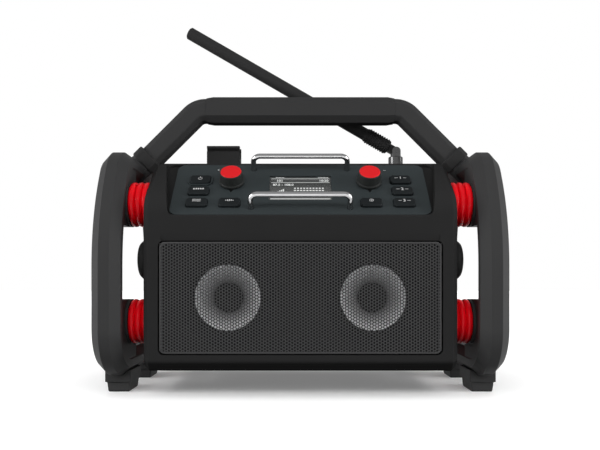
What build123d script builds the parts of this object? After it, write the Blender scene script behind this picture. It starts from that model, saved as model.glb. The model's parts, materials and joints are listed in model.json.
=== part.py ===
"""Jobsite radio: a housing hung on rubber dampers between two side frames.

Millimetres. +X is the user's right, -Y the front, +Z up; the origin lies on the
ground under the middle of the frames.
"""
import math
import os

from build123d import *

os.makedirs("parts", exist_ok=True)

SIDES = {"left": -1, "right": 1}
ENDS = {"front": -1, "rear": 1}

# ---------------------------------------------------------------- fits
wall = 3.0                    # moulded wall of the housings
slip = 0.3                    # clearance of a piece that moves by hand
running_fit = 0.08            # radial clearance of a spindle or pin that turns
screw_fit = 0.2               # radial clearance of a fixed screw or rod in its hole

# ---------------------------------------------------------------- housing
body_half_width = 160.0
body_front = -117.0
body_rear = 113.0
body_bottom = 28.0
body_top = 251.0
parting = -20.0               # front and rear housing meet here
body_side_edge = 5.0          # chamfer round the side walls
cheek_fall = 46.0             # below the top, the cheeks start to lean back
cheek_top = -58.0             # and reach the top here
cheek_round = 34.0
crown_round = 26.0
rear_lean = 28.0
rear_round = 16.0
base_chamfer = 10.0
base_round = 6.0
antenna_inset = 42.2          # from the housing's side to the antenna's swivel
antenna_boss = 4.0            # height of its boss on the housing
antenna_boss_radius = 12.5

# ---------------------------------------------------------------- deck and control panel
cheek_thickness = 25.0        # of each cheek beside the deck
deck_inset = 2.0              # of the panel's front edge, behind the front
deck_drop = 63.0              # of that edge, below the top
deck_angle = 45.0
deck_length = 86.0
deck_flare = 12.5             # the recess widens by this towards the rear, on each side
deck_lead = 4.0               # the recess starts this far before the panel
panel_thickness = 3.0
panel_corner = 9.0
display_width = 66.0
display_height = 42.0
display_v = 45.0              # middle of the display, up the slope from the panel's edge
display_rim = 1.2             # ledge under the lens
display_border = 3.0          # the module is this much larger than the lens, all round
display_module_depth = 8.0
lens_thickness = 2.2

# ---------------------------------------------------------------- keys
key_width = 22.4
key_height = 13.4
key_corner = 2.2              # cut corners
key_rise = 3.0
key_edge = 0.8
key_travel = 1.0
key_margin = 27.5             # from the deck's side to the outer keys' middle
key_start = 18.0              # from the panel's front edge to the lowest row
key_gap = 6.1                 # between two rows
key_flange = 1.6              # flange that keeps the key under the deck
key_flange_thickness = 1.2
key_stem = 3.4                # from the deck's underside to the foot of the key
key_frame = 2.2               # raised frame round the power key
key_frame_rise = 1.4
switch_size = 8.0

# ---------------------------------------------------------------- guard bars
guard_rod = 5.6               # diameter
guard_height = 20.5           # over the panel
guard_margin = 18.0           # from the display's side to the legs
guard_before = 13.5           # from the display's front edge to the front bar
guard_behind = 11.3           # from its rear edge to the rear bar
guard_bend = 7.5
guard_tail = 8.0              # of each leg, below the panel's surface

# ---------------------------------------------------------------- knobs
knob_gap = 6.2                # between a guard bar and a knob
knob_v = 53.7
knob_height = 14.2
knob_base_radius = 13.5
knob_top_radius = 11.9
knob_skirt = 2.0              # straight foot of the knob
knob_step = 0.8
knob_rim = 0.6
knob_recess = 1.0             # seat of the cap
knob_cap_radius = 11.0
knob_cap_thickness = 1.6
knob_cap_edge = 0.5
spindle_radius = 3.0
bush_radius = 4.5
bush_rise = 1.0               # of the bush over the panel
encoder_size = 14.0
spindle_seat = 2.0            # from the key board to the foot of a spindle

# ---------------------------------------------------------------- speakers and grille
speaker_x = 74.5
speaker_z = 103.3
speaker_flange_radius = 50.0
speaker_flange = 2.5
flange_land = 8.0             # from the flange's rim to the opening
surround_gap = 1.5            # from the opening to the surround
surround_width = 6.5
surround_crest = 2.0          # each flank of the surround
surround_rise = 0.6
cone_skin = 2.0
cone_neck = 13.0
cone_depth = 15.0
dust_cap_radius = 15.5
dust_cap_sink = 10.0          # of the dust cap's rim
dust_cap_crown = 6.0          # of its middle
dust_cap_step = 7.2
dust_cap_crown_radius = 10.9
basket_depth = 30.0
basket_back_radius = 24.0
basket_wall = 1.6
basket_neck_gap = 2.0         # between the cone's neck and the basket
basket_windows = 4
window_width = 18.0
window_length = 26.0
window_inset = 6.0            # from the opening to the window's middle
magnet_radius = 29.0
magnet_thickness = 14.0
magnet_edge = 1.5
grille_margin = 19.5          # from the speakers' flanges to the grille's ends
grille_rise = 7.4             # and to its upper and lower edges
grille_corner = 6.0
grille_edge = 1.4
grille_gap = 0.7
grille_recess = 9.0
grille_set_back = 0.8
grille_sheet = 1.2
baffle_thickness = 4.0
brow_height = 8.0             # sloped lead-in over the grille
brow_depth = 1.2
brow_inset = 2.5              # of its ends, from the grille's

# ---------------------------------------------------------------- dampers and stops
damper_y = 73.0
damper_rise = 49.0            # lower dampers, over the housing's underside
damper_drop = 48.5            # upper dampers, under its top
damper_radius = 24.0
damper_root_radius = 20.6
damper_ribs = 3
damper_rib_pitch = 7.0
damper_boss = 1.5             # from a damper to the frame's inner face
damper_bore_depth = 12.0
bolt_radius = 4.0
bolt_head_radius = 7.5
bolt_head = 5.0
bolt_end_gap = 1.0            # between the bolt's end and the bottom of its bore
stop_y = -88.0
stop_z = 142.5
stop_radius = 20.8
stop_height = 8.5
stop_round = 4.0

# ---------------------------------------------------------------- side frames
frame_half_depth = 125.0
frame_base = 19.0             # underside of the frame, above the ground
frame_rise = 10.0             # of the frame over the housing
frame_width = 29.5            # of the tube, sideways
frame_thickness = 26.0        # of the tube, from its outer to its inner edge
frame_chamfer = 9.2
frame_shoulder_drop = 74.0    # the uprights lean in from this far below the top
frame_lean = 41.0             # and by this much
frame_foot_round = 53.0
frame_shoulder_round = 200.0
frame_crown_round = 40.0
web_inset = 1.0               # from the frame's inner face to the corner webs
web_thickness = 10.0
web_size = 100.0

# ---------------------------------------------------------------- handle
handle_y = 0.0
handle_depth = 26.0
handle_thickness = 26.6
handle_rise = 74.4            # of the handle's top over the frames
handle_stand_off = 18.9       # of the legs' outer side from the frame's inner top edge
handle_foot_rise = 6.8        # of the legs' feet from that edge
handle_chamfer = 5.5
handle_outer_bend = 36.0
handle_inner_bend = 6.0
leg_overrun = 30.0            # the legs are drawn this much longer, then trimmed
collar_length = 14.0
collar_wall = 3.0
collar_edge = 1.0
grip_half_width = 111.0
grip_wall = 1.75
grip_chamfer = 7.0
grip_end = 8.0                # tapered ends of the grip
grip_taper = 9.0              # degrees
socket_rim = 1.6
socket_depth = 17.0

# ---------------------------------------------------------------- feet
foot_y = 50.0
foot_length = 42.0
foot_taper = 6.0              # degrees
foot_toe_round = 3.0
foot_side_gap = 2.5           # from the frame's side to the foot's
foot_flange_length = 46.0
foot_flange_side_gap = 0.75
foot_flange_base = 11.0
foot_lip = 5.0                # rises beside the frame's lower chamfers

# ---------------------------------------------------------------- antenna
antenna_y = 30.0
ferrule_radius = 8.85
ferrule_height = 18.3         # over the boss
ferrule_edge = 0.8
fork_radius = 5.15
fork_half_width = 8.0
fork_bite = 1.0               # of the fork into the ferrule
pivot_rise = 6.4              # over the ferrule
tongue_half_width = 4.2
pin_radius = 2.0
whip_angle = 30.0             # above the horizontal, leaning left
whip_length = 295.0
whip_collar_start = 10.0
whip_collar_end = 42.0
whip_collar_radius = 8.5
whip_collar_edge = 1.5
whip_radius = 7.5
whip_tip_edge = 1.4
clip_x = -94.1
clip_length = 40.3
clip_jaw = 4.0
clip_rise = 5.3               # of the jaws over the resting whip's middle
clip_clearance = 0.4          # round the whip

# ---------------------------------------------------------------- battery bay and door
bay_half_width = 50.0
bay_bottom = 70.0
bay_top = 180.0
bay_front = 45.0
door_margin = 4.0
door_thickness = 4.4
door_proud = 0.8
door_gap = 0.6
door_edge = 0.6
door_knuckle = 16.0
notch_width = 8.0             # finger notch in the door's free edge
notch_height = 30.0
hinge_radius = 3.2
hinge_pin_radius = 1.5
hinge_standoff = 0.3
contact_width = 44.0
contact_height = 18.0
contact_depth = 14.0
blade_width = 1.2
blade_height = 10.0
blade_length = 12.0
blade_pitch = 14.0

# ---------------------------------------------------------------- sockets and mains inlet
flap_x = 98.0
flap_half_width = 24.0
flap_bottom = 150.0
flap_top = 176.0
flap_thickness = 2.4
flap_proud = 0.8
flap_recess = 14.0
flap_hinge_radius = 2.2
flap_stub_radius = 1.0
socket_width = 34.0
socket_height = 14.0
socket_rise = 6.0
socket_pitch = 18.0
socket_ring = 4.0
socket_ring_rise = 1.5
socket_bore = 1.8
socket_bore_depth = 5.0
inlet_x = -104.0
inlet_z = 70.0
inlet_width = 28.0
inlet_height = 20.0
inlet_depth = 19.0
inlet_corner = 3.0
inlet_flange = 2.5
inlet_flange_thickness = 1.5
inlet_mouth_width = 20.0
inlet_mouth_height = 11.0
inlet_floor = 1.0
inlet_pin_radius = 1.2
inlet_pin_pitch = 8.6
inlet_pin_length = 12.0

# ---------------------------------------------------------------- screws, boards, supply
screw_radius = 2.0
screw_head_radius = 4.0
screw_head = 3.0
screw_length = 60.0
screw_head_y = 25.0
screw_low_z = 48.0
screw_drop = 40.0             # upper screws, below the housing's top
boss_radius = 6.0
boss_bite = 1.5               # of the bosses into the side walls
board_thickness = 1.6
board_half_width = 112.0
board_bottom = 62.0
board_top = 186.0
board_y = 33.0
board_post_radius = 3.0
board_post_x = 48.0
board_post_inset = 12.0       # from the board's lower and upper edges
part_height = 6.0             # blocks on the board
key_board_depth = 12.0        # below the panel's surface
key_board_v = 38.0
key_board_height = 62.0
key_board_margin = 16.0       # past the outer keys' middle
spacer_radius = 3.0
spacer_inset = 7.0            # from the board's lower and upper edges
supply_x = -104.0
supply_y = 66.0
supply_width = 56.0
supply_length = 46.0
supply_height = 40.0
supply_coil = 10.0
coil_corner = 4.0

# ---------------------------------------------------------------- derived places
deck_half_width = body_half_width - cheek_thickness
deck_y = body_front + deck_inset
deck_z = body_top - deck_drop
deck = Plane(
    origin=(0, deck_y, deck_z),
    x_dir=(1, 0, 0),
    z_dir=(0, -math.sin(math.radians(deck_angle)), math.cos(math.radians(deck_angle))),
)
deck_up = Axis((0, 0, 0), deck.z_dir)
deck_floor = -panel_thickness             # top of the moulded deck under the panel
deck_underside = deck_floor - wall
deck_run = 2 * (body_rear - body_front)   # longer than any cut along the deck
key_column = deck_half_width - key_margin
key_pitch = key_height + key_gap
key_rows = {"bottom": key_start, "middle": key_start + key_pitch, "top": key_start + 2 * key_pitch}
guard_half_width = display_width / 2 + guard_margin
guard_front_v = display_v - display_height / 2 - guard_before
guard_rear_v = display_v + display_height / 2 + guard_behind
knob_x = guard_half_width + guard_rod / 2 + knob_gap + knob_base_radius
key_places = {
    "power": (-key_column, key_rows["top"]),
    "mode": (-key_column, key_rows["middle"]),
    "menu": (-key_column, key_rows["bottom"]),
    "bass": (-knob_x, key_rows["bottom"]),
    "info": (knob_x, key_rows["bottom"]),
    "preset_one": (key_column, key_rows["top"]),
    "preset_two": (key_column, key_rows["middle"]),
    "preset_three": (key_column, key_rows["bottom"]),
}
knob_places = {"volume": (-knob_x, knob_v), "tuning": (knob_x, knob_v)}
guard_places = [(side * guard_half_width, v) for side in SIDES.values()
                for v in (guard_front_v, guard_rear_v)]
speaker_places = [(side * speaker_x, speaker_z) for side in SIDES.values()]
speaker_opening = speaker_flange_radius - flange_land
grille_width = 2 * (speaker_x + speaker_flange_radius + grille_margin)
grille_height = 2 * (speaker_flange_radius + grille_rise)
damper_end = body_half_width + damper_ribs * damper_rib_pitch
damper_heights = (body_bottom + damper_rise, body_top - damper_drop)
damper_places = [(end * damper_y, z) for end in ENDS.values() for z in damper_heights]
frame_inner = damper_end + damper_boss
frame_outer = frame_inner + frame_width
frame_middle_x = (frame_inner + frame_outer) / 2
frame_top = body_top + frame_rise
frame_middle_z = (frame_base + frame_top) / 2
web_start = frame_inner + web_inset
web_face = web_start + web_thickness
handle_top = frame_top + handle_rise
handle_bottom = handle_top - handle_thickness
handle_middle_z = (handle_top + handle_bottom) / 2
leg_outer_line = frame_inner + frame_top + handle_stand_off      # |x| + z outside the legs
leg_inner_line = leg_outer_line - math.sqrt(2) * handle_thickness
leg_middle_line = (leg_outer_line + leg_inner_line) / 2
handle_foot = (frame_inner - frame_top + handle_foot_rise) / math.sqrt(2)
antenna_x = body_half_width - antenna_inset
antenna_seat = body_top + antenna_boss
ferrule_top = antenna_seat + ferrule_height
pivot_z = ferrule_top + pivot_rise
screw_x = body_half_width - wall - boss_radius + boss_bite
screw_places = [(side * screw_x, z) for side in SIDES.values()
                for z in (screw_low_z, body_top - screw_drop)]


# ---------------------------------------------------------------- outlines
def body_outline():
    """Closed side view of the housing, in the YZ plane."""
    corners = [
        (body_front + base_chamfer, body_bottom, base_round),
        (body_front, body_bottom + base_chamfer, base_round),
        (body_front, body_top - cheek_fall, cheek_round),
        (cheek_top, body_top, crown_round),
        (body_rear - rear_lean, body_top, rear_round),
        (body_rear, body_top - rear_lean, rear_round),
        (body_rear, body_bottom + base_chamfer, base_round),
        (body_rear - base_chamfer, body_bottom, base_round),
    ]
    with BuildLine() as outline:
        FilletPolyline(
            [(y, z) for y, z, _ in corners],
            radius=[radius for _, _, radius in corners],
            close=True,
        )
    make_face(outline.edges())


def frame_outline():
    """Closed side view of a side frame, the same at the front and the rear."""
    rear_half = [
        (frame_half_depth, frame_base, frame_foot_round),
        (frame_half_depth, frame_top - frame_shoulder_drop, frame_shoulder_round),
        (frame_half_depth - frame_lean, frame_top, frame_crown_round),
    ]
    corners = rear_half + [(-y, z, radius) for y, z, radius in reversed(rear_half)]
    with BuildLine() as outline:
        FilletPolyline(
            [(y, z) for y, z, _ in corners],
            radius=[radius for _, _, radius in corners],
            close=True,
        )
    make_face(outline.edges())


def recess_outline(start, end, margin, corner):
    """Closed outline on the deck that widens up the slope, grown sideways by margin."""
    flare = deck_flare / deck_length
    near = deck_half_width + margin + flare * start
    far = deck_half_width + margin + flare * end
    with BuildLine() as outline:
        FilletPolyline(
            (-near, start), (near, start), (far, end), (-far, end), radius=corner, close=True
        )
    make_face(outline.edges())


def octagon(width, height, chamfer_size):
    """Rectangle with cut corners, at the sketch's current locations."""
    chamfer(Rectangle(width, height).vertices(), chamfer_size)


def axial_plane(origin, axis, x_dir):
    """Plane whose local y runs along axis, for profiles that are revolved about it."""
    return Plane(origin=origin, x_dir=x_dir, z_dir=Vector(x_dir).cross(Vector(axis)))


def deck_point(u, v, w=0.0):
    """Point on the deck: u across, v up the slope, w above the panel."""
    return deck.from_local_coords((u, v, w))


# ---------------------------------------------------------------- front housing
baffle_face = body_front + grille_recess
baffle_back = baffle_face + baffle_thickness
grille_top = speaker_z + grille_height / 2 + grille_gap

# the inside, less the deck and the side walls of its recess
with BuildPart(mode=Mode.PRIVATE) as front_hollow:
    with BuildSketch(Plane.YZ):
        body_outline()
        offset(amount=-wall)
    extrude(amount=body_half_width - wall, both=True)
    with BuildSketch(deck.offset(deck_underside)):
        recess_outline(-deck_length, deck_run, wall, 0)
    extrude(amount=deck_run, mode=Mode.SUBTRACT)

with BuildPart() as front_housing:
    with BuildSketch(Plane.YZ):
        body_outline()
    extrude(amount=body_half_width, both=True)
    chamfer(front_housing.faces().filter_by(Axis.X).edges(), body_side_edge)
    split(bisect_by=Plane.XZ.offset(-parting), keep=Keep.TOP)
    add(front_hollow.part, mode=Mode.SUBTRACT)
    # baffle behind the grille
    with BuildSketch(Plane.XZ.offset(-body_front - wall / 2)):
        with Locations((0, speaker_z)):
            Rectangle(grille_width + 2 * wall, grille_height + 2 * wall)
    extrude(amount=-(baffle_back - body_front - wall / 2))
    with BuildSketch(Plane.XZ.offset(-body_front)):
        with Locations((0, speaker_z)):
            RectangleRounded(
                grille_width + 2 * grille_gap, grille_height + 2 * grille_gap, grille_corner
            )
    extrude(amount=-grille_recess, mode=Mode.SUBTRACT)
    with BuildSketch(Plane.XZ.offset(-baffle_face)):
        with Locations(*speaker_places):
            Circle(speaker_opening)
    extrude(amount=-2 * baffle_thickness, mode=Mode.SUBTRACT)
    # sloped brow over the grille
    with BuildSketch(Plane.YZ):
        with BuildLine():
            Polyline(
                (body_front - brow_depth, grille_top),
                (body_front + brow_depth, grille_top),
                (body_front, grille_top + brow_height),
                (body_front - brow_depth, grille_top + brow_height),
                close=True,
            )
        make_face()
    extrude(amount=grille_width / 2 - brow_inset, both=True, mode=Mode.SUBTRACT)
    # recess above the deck, and the pocket for the panel
    with BuildSketch(deck):
        recess_outline(-deck_lead, deck_run, 0, panel_corner)
    extrude(amount=deck_run, mode=Mode.SUBTRACT)
    with BuildSketch(deck):
        recess_outline(-slip, deck_length + slip, 0, panel_corner)
    extrude(amount=deck_floor, mode=Mode.SUBTRACT)
    # openings in the deck
    with BuildSketch(deck.offset(deck_floor)):
        with Locations((0, display_v)):
            Rectangle(display_width - 2 * display_rim, display_height - 2 * display_rim)
        with Locations(*key_places.values()):
            Rectangle(key_width + 2 * slip, key_height + 2 * slip)
        with Locations(*knob_places.values()):
            Circle(bush_radius + screw_fit)
        with Locations(*guard_places):
            Circle(guard_rod / 2 + screw_fit)
    extrude(amount=-2 * wall, mode=Mode.SUBTRACT)
    # screw bosses
    with BuildSketch(Plane.XZ.offset(-parting)):
        with Locations(*screw_places):
            Rectangle(2 * boss_radius, 2 * boss_radius)
    extrude(amount=screw_length - 2 * wall)
    with BuildSketch(Plane.XZ.offset(-parting)):
        with Locations(*screw_places):
            Circle(screw_radius + screw_fit)
    extrude(amount=screw_length - 3 * wall, mode=Mode.SUBTRACT)
front_housing.part.label = "front_housing"
export_step(front_housing.part, "parts/front_housing.step")

# ---------------------------------------------------------------- rear housing
bay_middle = (bay_bottom + bay_top) / 2
door_half_width = bay_half_width + door_margin
door_height = bay_top - bay_bottom + 2 * door_margin
hinge_x = -(door_half_width + door_gap + hinge_radius)
hinge_y = body_rear + hinge_standoff + hinge_radius
flap_middle = (flap_bottom + flap_top) / 2
flap_height = flap_top - flap_bottom
flap_hinge_y = body_rear + hinge_standoff + flap_hinge_radius
flap_hinge_z = flap_top + flap_hinge_radius + door_gap

with BuildPart() as rear_housing:
    with BuildSketch(Plane.YZ):
        body_outline()
    extrude(amount=body_half_width, both=True)
    chamfer(rear_housing.faces().filter_by(Axis.X).edges(), body_side_edge)
    split(bisect_by=Plane.XZ.offset(-parting), keep=Keep.BOTTOM)
    with BuildSketch(Plane.YZ):
        body_outline()
        offset(amount=-wall)
    extrude(amount=body_half_width - wall, both=True, mode=Mode.SUBTRACT)
    # battery bay, a box that opens to the rear
    with BuildSketch(Plane.XZ.offset(-body_rear)):
        with Locations((0, bay_middle)):
            Rectangle(2 * (door_half_width + wall), door_height + 2 * wall)
    extrude(amount=body_rear - bay_front + wall)
    with BuildSketch(Plane.XZ.offset(-body_rear)):
        with Locations((0, bay_middle)):
            Rectangle(2 * bay_half_width, bay_top - bay_bottom)
    extrude(amount=body_rear - bay_front, mode=Mode.SUBTRACT)
    with BuildSketch(Plane.XZ.offset(-body_rear)):
        with Locations((0, bay_middle)):
            Rectangle(2 * (door_half_width + door_gap), door_height + 2 * door_gap)
    extrude(amount=door_thickness - door_proud + hinge_standoff, mode=Mode.SUBTRACT)
    # hinge knuckle of the battery door
    with BuildSketch(Plane.XY.offset(bay_middle)):
        with Locations((hinge_x, hinge_y)):
            Circle(hinge_radius)
        with Locations((hinge_x, hinge_y - hinge_radius / 2 - hinge_standoff)):
            Rectangle(2 * hinge_radius, hinge_radius + 2 * hinge_standoff)
        with Locations((hinge_x, hinge_y)):
            Circle(hinge_pin_radius + running_fit, mode=Mode.SUBTRACT)
    extrude(amount=door_knuckle / 2, both=True)
    # recess and ears of the socket flap
    with BuildSketch(Plane.XZ.offset(-body_rear)):
        with Locations((flap_x, flap_middle)):
            Rectangle(2 * (flap_half_width + wall), flap_height + 2 * wall)
    extrude(amount=flap_recess + wall)
    with BuildSketch(Plane.XZ.offset(-body_rear)):
        with Locations((flap_x, flap_middle)):
            Rectangle(2 * (flap_half_width + door_gap), flap_height + 2 * door_gap)
    extrude(amount=flap_thickness - flap_proud + hinge_standoff, mode=Mode.SUBTRACT)
    with BuildSketch(Plane.XZ.offset(-body_rear)):
        with Locations((flap_x, flap_middle)):
            Rectangle(2 * (flap_half_width - wall), flap_height - 2 * wall)
    extrude(amount=flap_recess, mode=Mode.SUBTRACT)
    for side in SIDES.values():
        ear = flap_half_width - 2 * flap_hinge_radius
        with BuildSketch(Plane.YZ.offset(flap_x + side * ear)):
            with Locations((flap_hinge_y, flap_hinge_z)):
                Circle(flap_hinge_radius)
            with Locations((body_rear, flap_hinge_z)):
                Rectangle(2 * (flap_hinge_y - body_rear), 2 * flap_hinge_radius)
            with Locations((flap_hinge_y, flap_hinge_z)):
                Circle(flap_stub_radius + running_fit, mode=Mode.SUBTRACT)
        extrude(amount=side * 2 * flap_hinge_radius)
    # mains inlet opening
    with BuildSketch(Plane.XZ.offset(-body_rear)):
        with Locations((inlet_x, inlet_z)):
            Rectangle(inlet_width + 2 * screw_fit, inlet_height + 2 * screw_fit)
    extrude(amount=2 * wall, mode=Mode.SUBTRACT)
    # antenna boss
    with BuildSketch(Plane.XY.offset(body_top - wall)):
        with Locations((antenna_x, antenna_y)):
            Circle(antenna_boss_radius)
    extrude(amount=antenna_boss + wall)
    with BuildSketch(Plane.XY.offset(antenna_seat)):
        with Locations((antenna_x, antenna_y)):
            Circle(spindle_radius + running_fit)
    extrude(amount=-(antenna_boss + 2 * wall), mode=Mode.SUBTRACT)
    # screw bosses with deep counterbores
    with BuildSketch(Plane.XZ.offset(-parting)):
        with Locations(*screw_places):
            Rectangle(2 * boss_radius, 2 * boss_radius)
    extrude(amount=-(body_rear - wall / 2 - parting))
    with BuildSketch(Plane.XZ.offset(-parting)):
        with Locations(*screw_places):
            Circle(screw_radius + screw_fit)
    extrude(amount=-(body_rear - parting), mode=Mode.SUBTRACT)
    with BuildSketch(Plane.XZ.offset(-screw_head_y + screw_head)):
        with Locations(*screw_places):
            Circle(screw_head_radius + screw_fit)
    extrude(amount=-(body_rear - parting), mode=Mode.SUBTRACT)
rear_housing.part.label = "rear_housing"
export_step(rear_housing.part, "parts/rear_housing.step")

# ---------------------------------------------------------------- control panel
with BuildPart() as control_panel:
    with BuildSketch(deck):
        with Locations((0, deck_length / 2)):
            RectangleRounded(2 * deck_half_width - 4 * slip, deck_length, panel_corner)
        with Locations((0, display_v)):
            Rectangle(display_width, display_height, mode=Mode.SUBTRACT)
        with Locations(*knob_places.values()):
            Circle(bush_radius + screw_fit, mode=Mode.SUBTRACT)
        with Locations(*guard_places):
            Circle(guard_rod / 2 + screw_fit, mode=Mode.SUBTRACT)
    extrude(amount=deck_floor)
    # raised frame round the power key
    with BuildSketch(deck):
        with Locations(key_places["power"]):
            octagon(key_width + 2 * key_frame, key_height + 2 * key_frame, key_corner + key_frame)
    extrude(amount=key_frame_rise)
    with BuildSketch(deck.offset(key_frame_rise)):
        with Locations(*key_places.values()):
            octagon(key_width + 2 * slip, key_height + 2 * slip, key_corner)
    extrude(amount=deck_floor - key_frame_rise, mode=Mode.SUBTRACT)
control_panel.part.label = "control_panel"
export_step(control_panel.part, "parts/control_panel.step")

# ---------------------------------------------------------------- display
with BuildPart() as display_lens:
    with BuildSketch(deck.offset(deck_floor)):
        with Locations((0, display_v)):
            Rectangle(display_width - 2 * screw_fit, display_height - 2 * screw_fit)
    extrude(amount=lens_thickness)
display_lens.part.label = "display_lens"
export_step(display_lens.part, "parts/display_lens.step")

with BuildPart() as display_module:
    with BuildSketch(deck.offset(deck_underside)):
        with Locations((0, display_v)):
            Rectangle(display_width + 2 * display_border, display_height + 2 * display_border)
    extrude(amount=-display_module_depth)
    with BuildSketch(deck.offset(deck_underside)):
        with Locations((0, display_v)):
            Rectangle(
                display_width - 2 * (display_rim + screw_fit),
                display_height - 2 * (display_rim + screw_fit),
            )
    extrude(amount=wall - screw_fit)
display_module.part.label = "display_module"
export_step(display_module.part, "parts/display_module.step")

# ---------------------------------------------------------------- key board under the deck
board_top_w = -key_board_depth
key_foot_w = deck_underside - key_stem
spacer_x = (key_column + knob_x) / 2
spacer_v = key_board_height / 2 - spacer_inset
with BuildPart() as key_board:
    with BuildSketch(deck.offset(board_top_w)):
        with Locations((0, key_board_v)):
            Rectangle(2 * (key_column + key_board_margin), key_board_height)
        with Locations((0, display_v)):
            Rectangle(
                display_width + 4 * display_border, display_height + 4 * display_border,
                mode=Mode.SUBTRACT,
            )
    extrude(amount=-board_thickness)
    # switches under the keys
    with BuildSketch(deck.offset(board_top_w)):
        with Locations(*key_places.values()):
            Rectangle(switch_size, switch_size)
    extrude(amount=key_foot_w - key_travel - slip - board_top_w)
    # spacers up to the deck
    with BuildSketch(deck.offset(board_top_w)):
        with Locations(*[
            (side * spacer_x, key_board_v + end * spacer_v)
            for side in SIDES.values() for end in ENDS.values()
        ]):
            Rectangle(2 * spacer_radius, 2 * spacer_radius)
    extrude(amount=deck_underside - board_top_w)
key_board.part.label = "key_board"
export_step(key_board.part, "parts/key_board.step")

# ---------------------------------------------------------------- encoders behind the knobs
with BuildPart() as encoders:
    with BuildSketch(deck.offset(board_top_w)):
        with Locations(*knob_places.values()):
            Rectangle(encoder_size, encoder_size)
    extrude(amount=deck_underside - board_top_w)
    with BuildSketch(deck.offset(board_top_w)):
        with Locations(*knob_places.values()):
            Circle(bush_radius)
    extrude(amount=bush_rise - board_top_w)
    with BuildSketch(deck.offset(board_top_w + spindle_seat / 2)):
        with Locations(*knob_places.values()):
            Circle(spindle_radius + running_fit)
    extrude(amount=2 * key_board_depth, mode=Mode.SUBTRACT)
encoders.part.label = "encoders"
export_step(encoders.part, "parts/encoders.step")

# ---------------------------------------------------------------- knobs
knob_start = bush_rise + slip
cap_seat = knob_height - knob_recess
for knob_name, place in knob_places.items():
    with BuildPart() as knob:
        with BuildSketch(axial_plane(deck_point(*place), deck.z_dir, deck.x_dir)):
            with BuildLine():
                Polyline(
                    (0, knob_start),
                    (knob_base_radius, knob_start),
                    (knob_base_radius, knob_start + knob_skirt),
                    (knob_base_radius - knob_step, knob_start + knob_skirt + knob_step),
                    (knob_top_radius, knob_height - knob_rim),
                    (knob_top_radius - knob_rim, knob_height),
                    (knob_cap_radius, knob_height),
                    (knob_cap_radius, cap_seat),
                    (0, cap_seat),
                    close=True,
                )
            make_face()
        revolve(axis=Axis(deck_point(*place), deck.z_dir))
        # spindle, in the encoder's bush
        with BuildSketch(deck.offset(board_top_w + spindle_seat)):
            with Locations(place):
                Circle(spindle_radius)
        extrude(amount=knob_start - board_top_w)
    knob.part.label = f"{knob_name}_knob"
    export_step(knob.part, f"parts/{knob.part.label}.step")

    with BuildPart() as cap:
        with BuildSketch(deck.offset(cap_seat)):
            with Locations(place):
                Circle(knob_cap_radius)
        extrude(amount=knob_cap_thickness)
        chamfer(cap.faces().sort_by(deck_up)[-1].edges(), knob_cap_edge)
    cap.part.label = f"{knob_name}_knob_cap"
    export_step(cap.part, f"parts/{cap.part.label}.step")

# ---------------------------------------------------------------- keys
for key_name, place in key_places.items():
    with BuildPart() as key:
        with BuildSketch(deck.offset(key_foot_w)):
            with Locations(place):
                octagon(key_width, key_height, key_corner)
        extrude(amount=key_rise - key_foot_w)
        chamfer(key.faces().sort_by(deck_up)[-1].edges(), key_edge)
        with BuildSketch(deck.offset(deck_underside - slip)):
            with Locations(place):
                Rectangle(key_width + 2 * key_flange, key_height + 2 * key_flange)
        extrude(amount=-key_flange_thickness)
    key.part.label = f"{key_name}_key"
    export_step(key.part, f"parts/{key.part.label}.step")

# ---------------------------------------------------------------- guard bars
for guard_name, guard_v in (("front", guard_front_v), ("rear", guard_rear_v)):
    leg_plane = Plane(origin=deck_point(0, guard_v), x_dir=(1, 0, 0), z_dir=-deck.y_dir)
    rod_line = guard_height - guard_rod / 2
    with BuildPart() as guard_bar:
        with BuildLine(leg_plane) as rod_path:
            FilletPolyline(
                (-guard_half_width, -guard_tail),
                (-guard_half_width, rod_line),
                (guard_half_width, rod_line),
                (guard_half_width, -guard_tail),
                radius=guard_bend,
            )
        with BuildSketch(deck.offset(-guard_tail)):
            with Locations((-guard_half_width, guard_v)):
                Circle(guard_rod / 2)
        sweep(path=rod_path.line)
    guard_bar.part.label = f"guard_bar_{guard_name}"
    export_step(guard_bar.part, f"parts/{guard_bar.part.label}.step")

# ---------------------------------------------------------------- speaker grille
grille_face = body_front + grille_set_back
with BuildPart() as speaker_grille:
    with BuildSketch(Plane.XZ.offset(-grille_face)):
        with Locations((0, speaker_z)):
            RectangleRounded(grille_width, grille_height, grille_corner)
    extrude(amount=-(grille_recess - grille_set_back))
    chamfer(speaker_grille.faces().sort_by(Axis.Y)[0].edges(), grille_edge)
    with BuildSketch(Plane.XZ.offset(-grille_face - grille_recess)):
        with Locations((0, speaker_z)):
            RectangleRounded(
                grille_width - 2 * grille_sheet,
                grille_height - 2 * grille_sheet,
                grille_corner - grille_sheet,
            )
    extrude(amount=grille_recess - grille_sheet, mode=Mode.SUBTRACT)
speaker_grille.part.label = "speaker_grille"
export_step(speaker_grille.part, "parts/speaker_grille.step")

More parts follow.
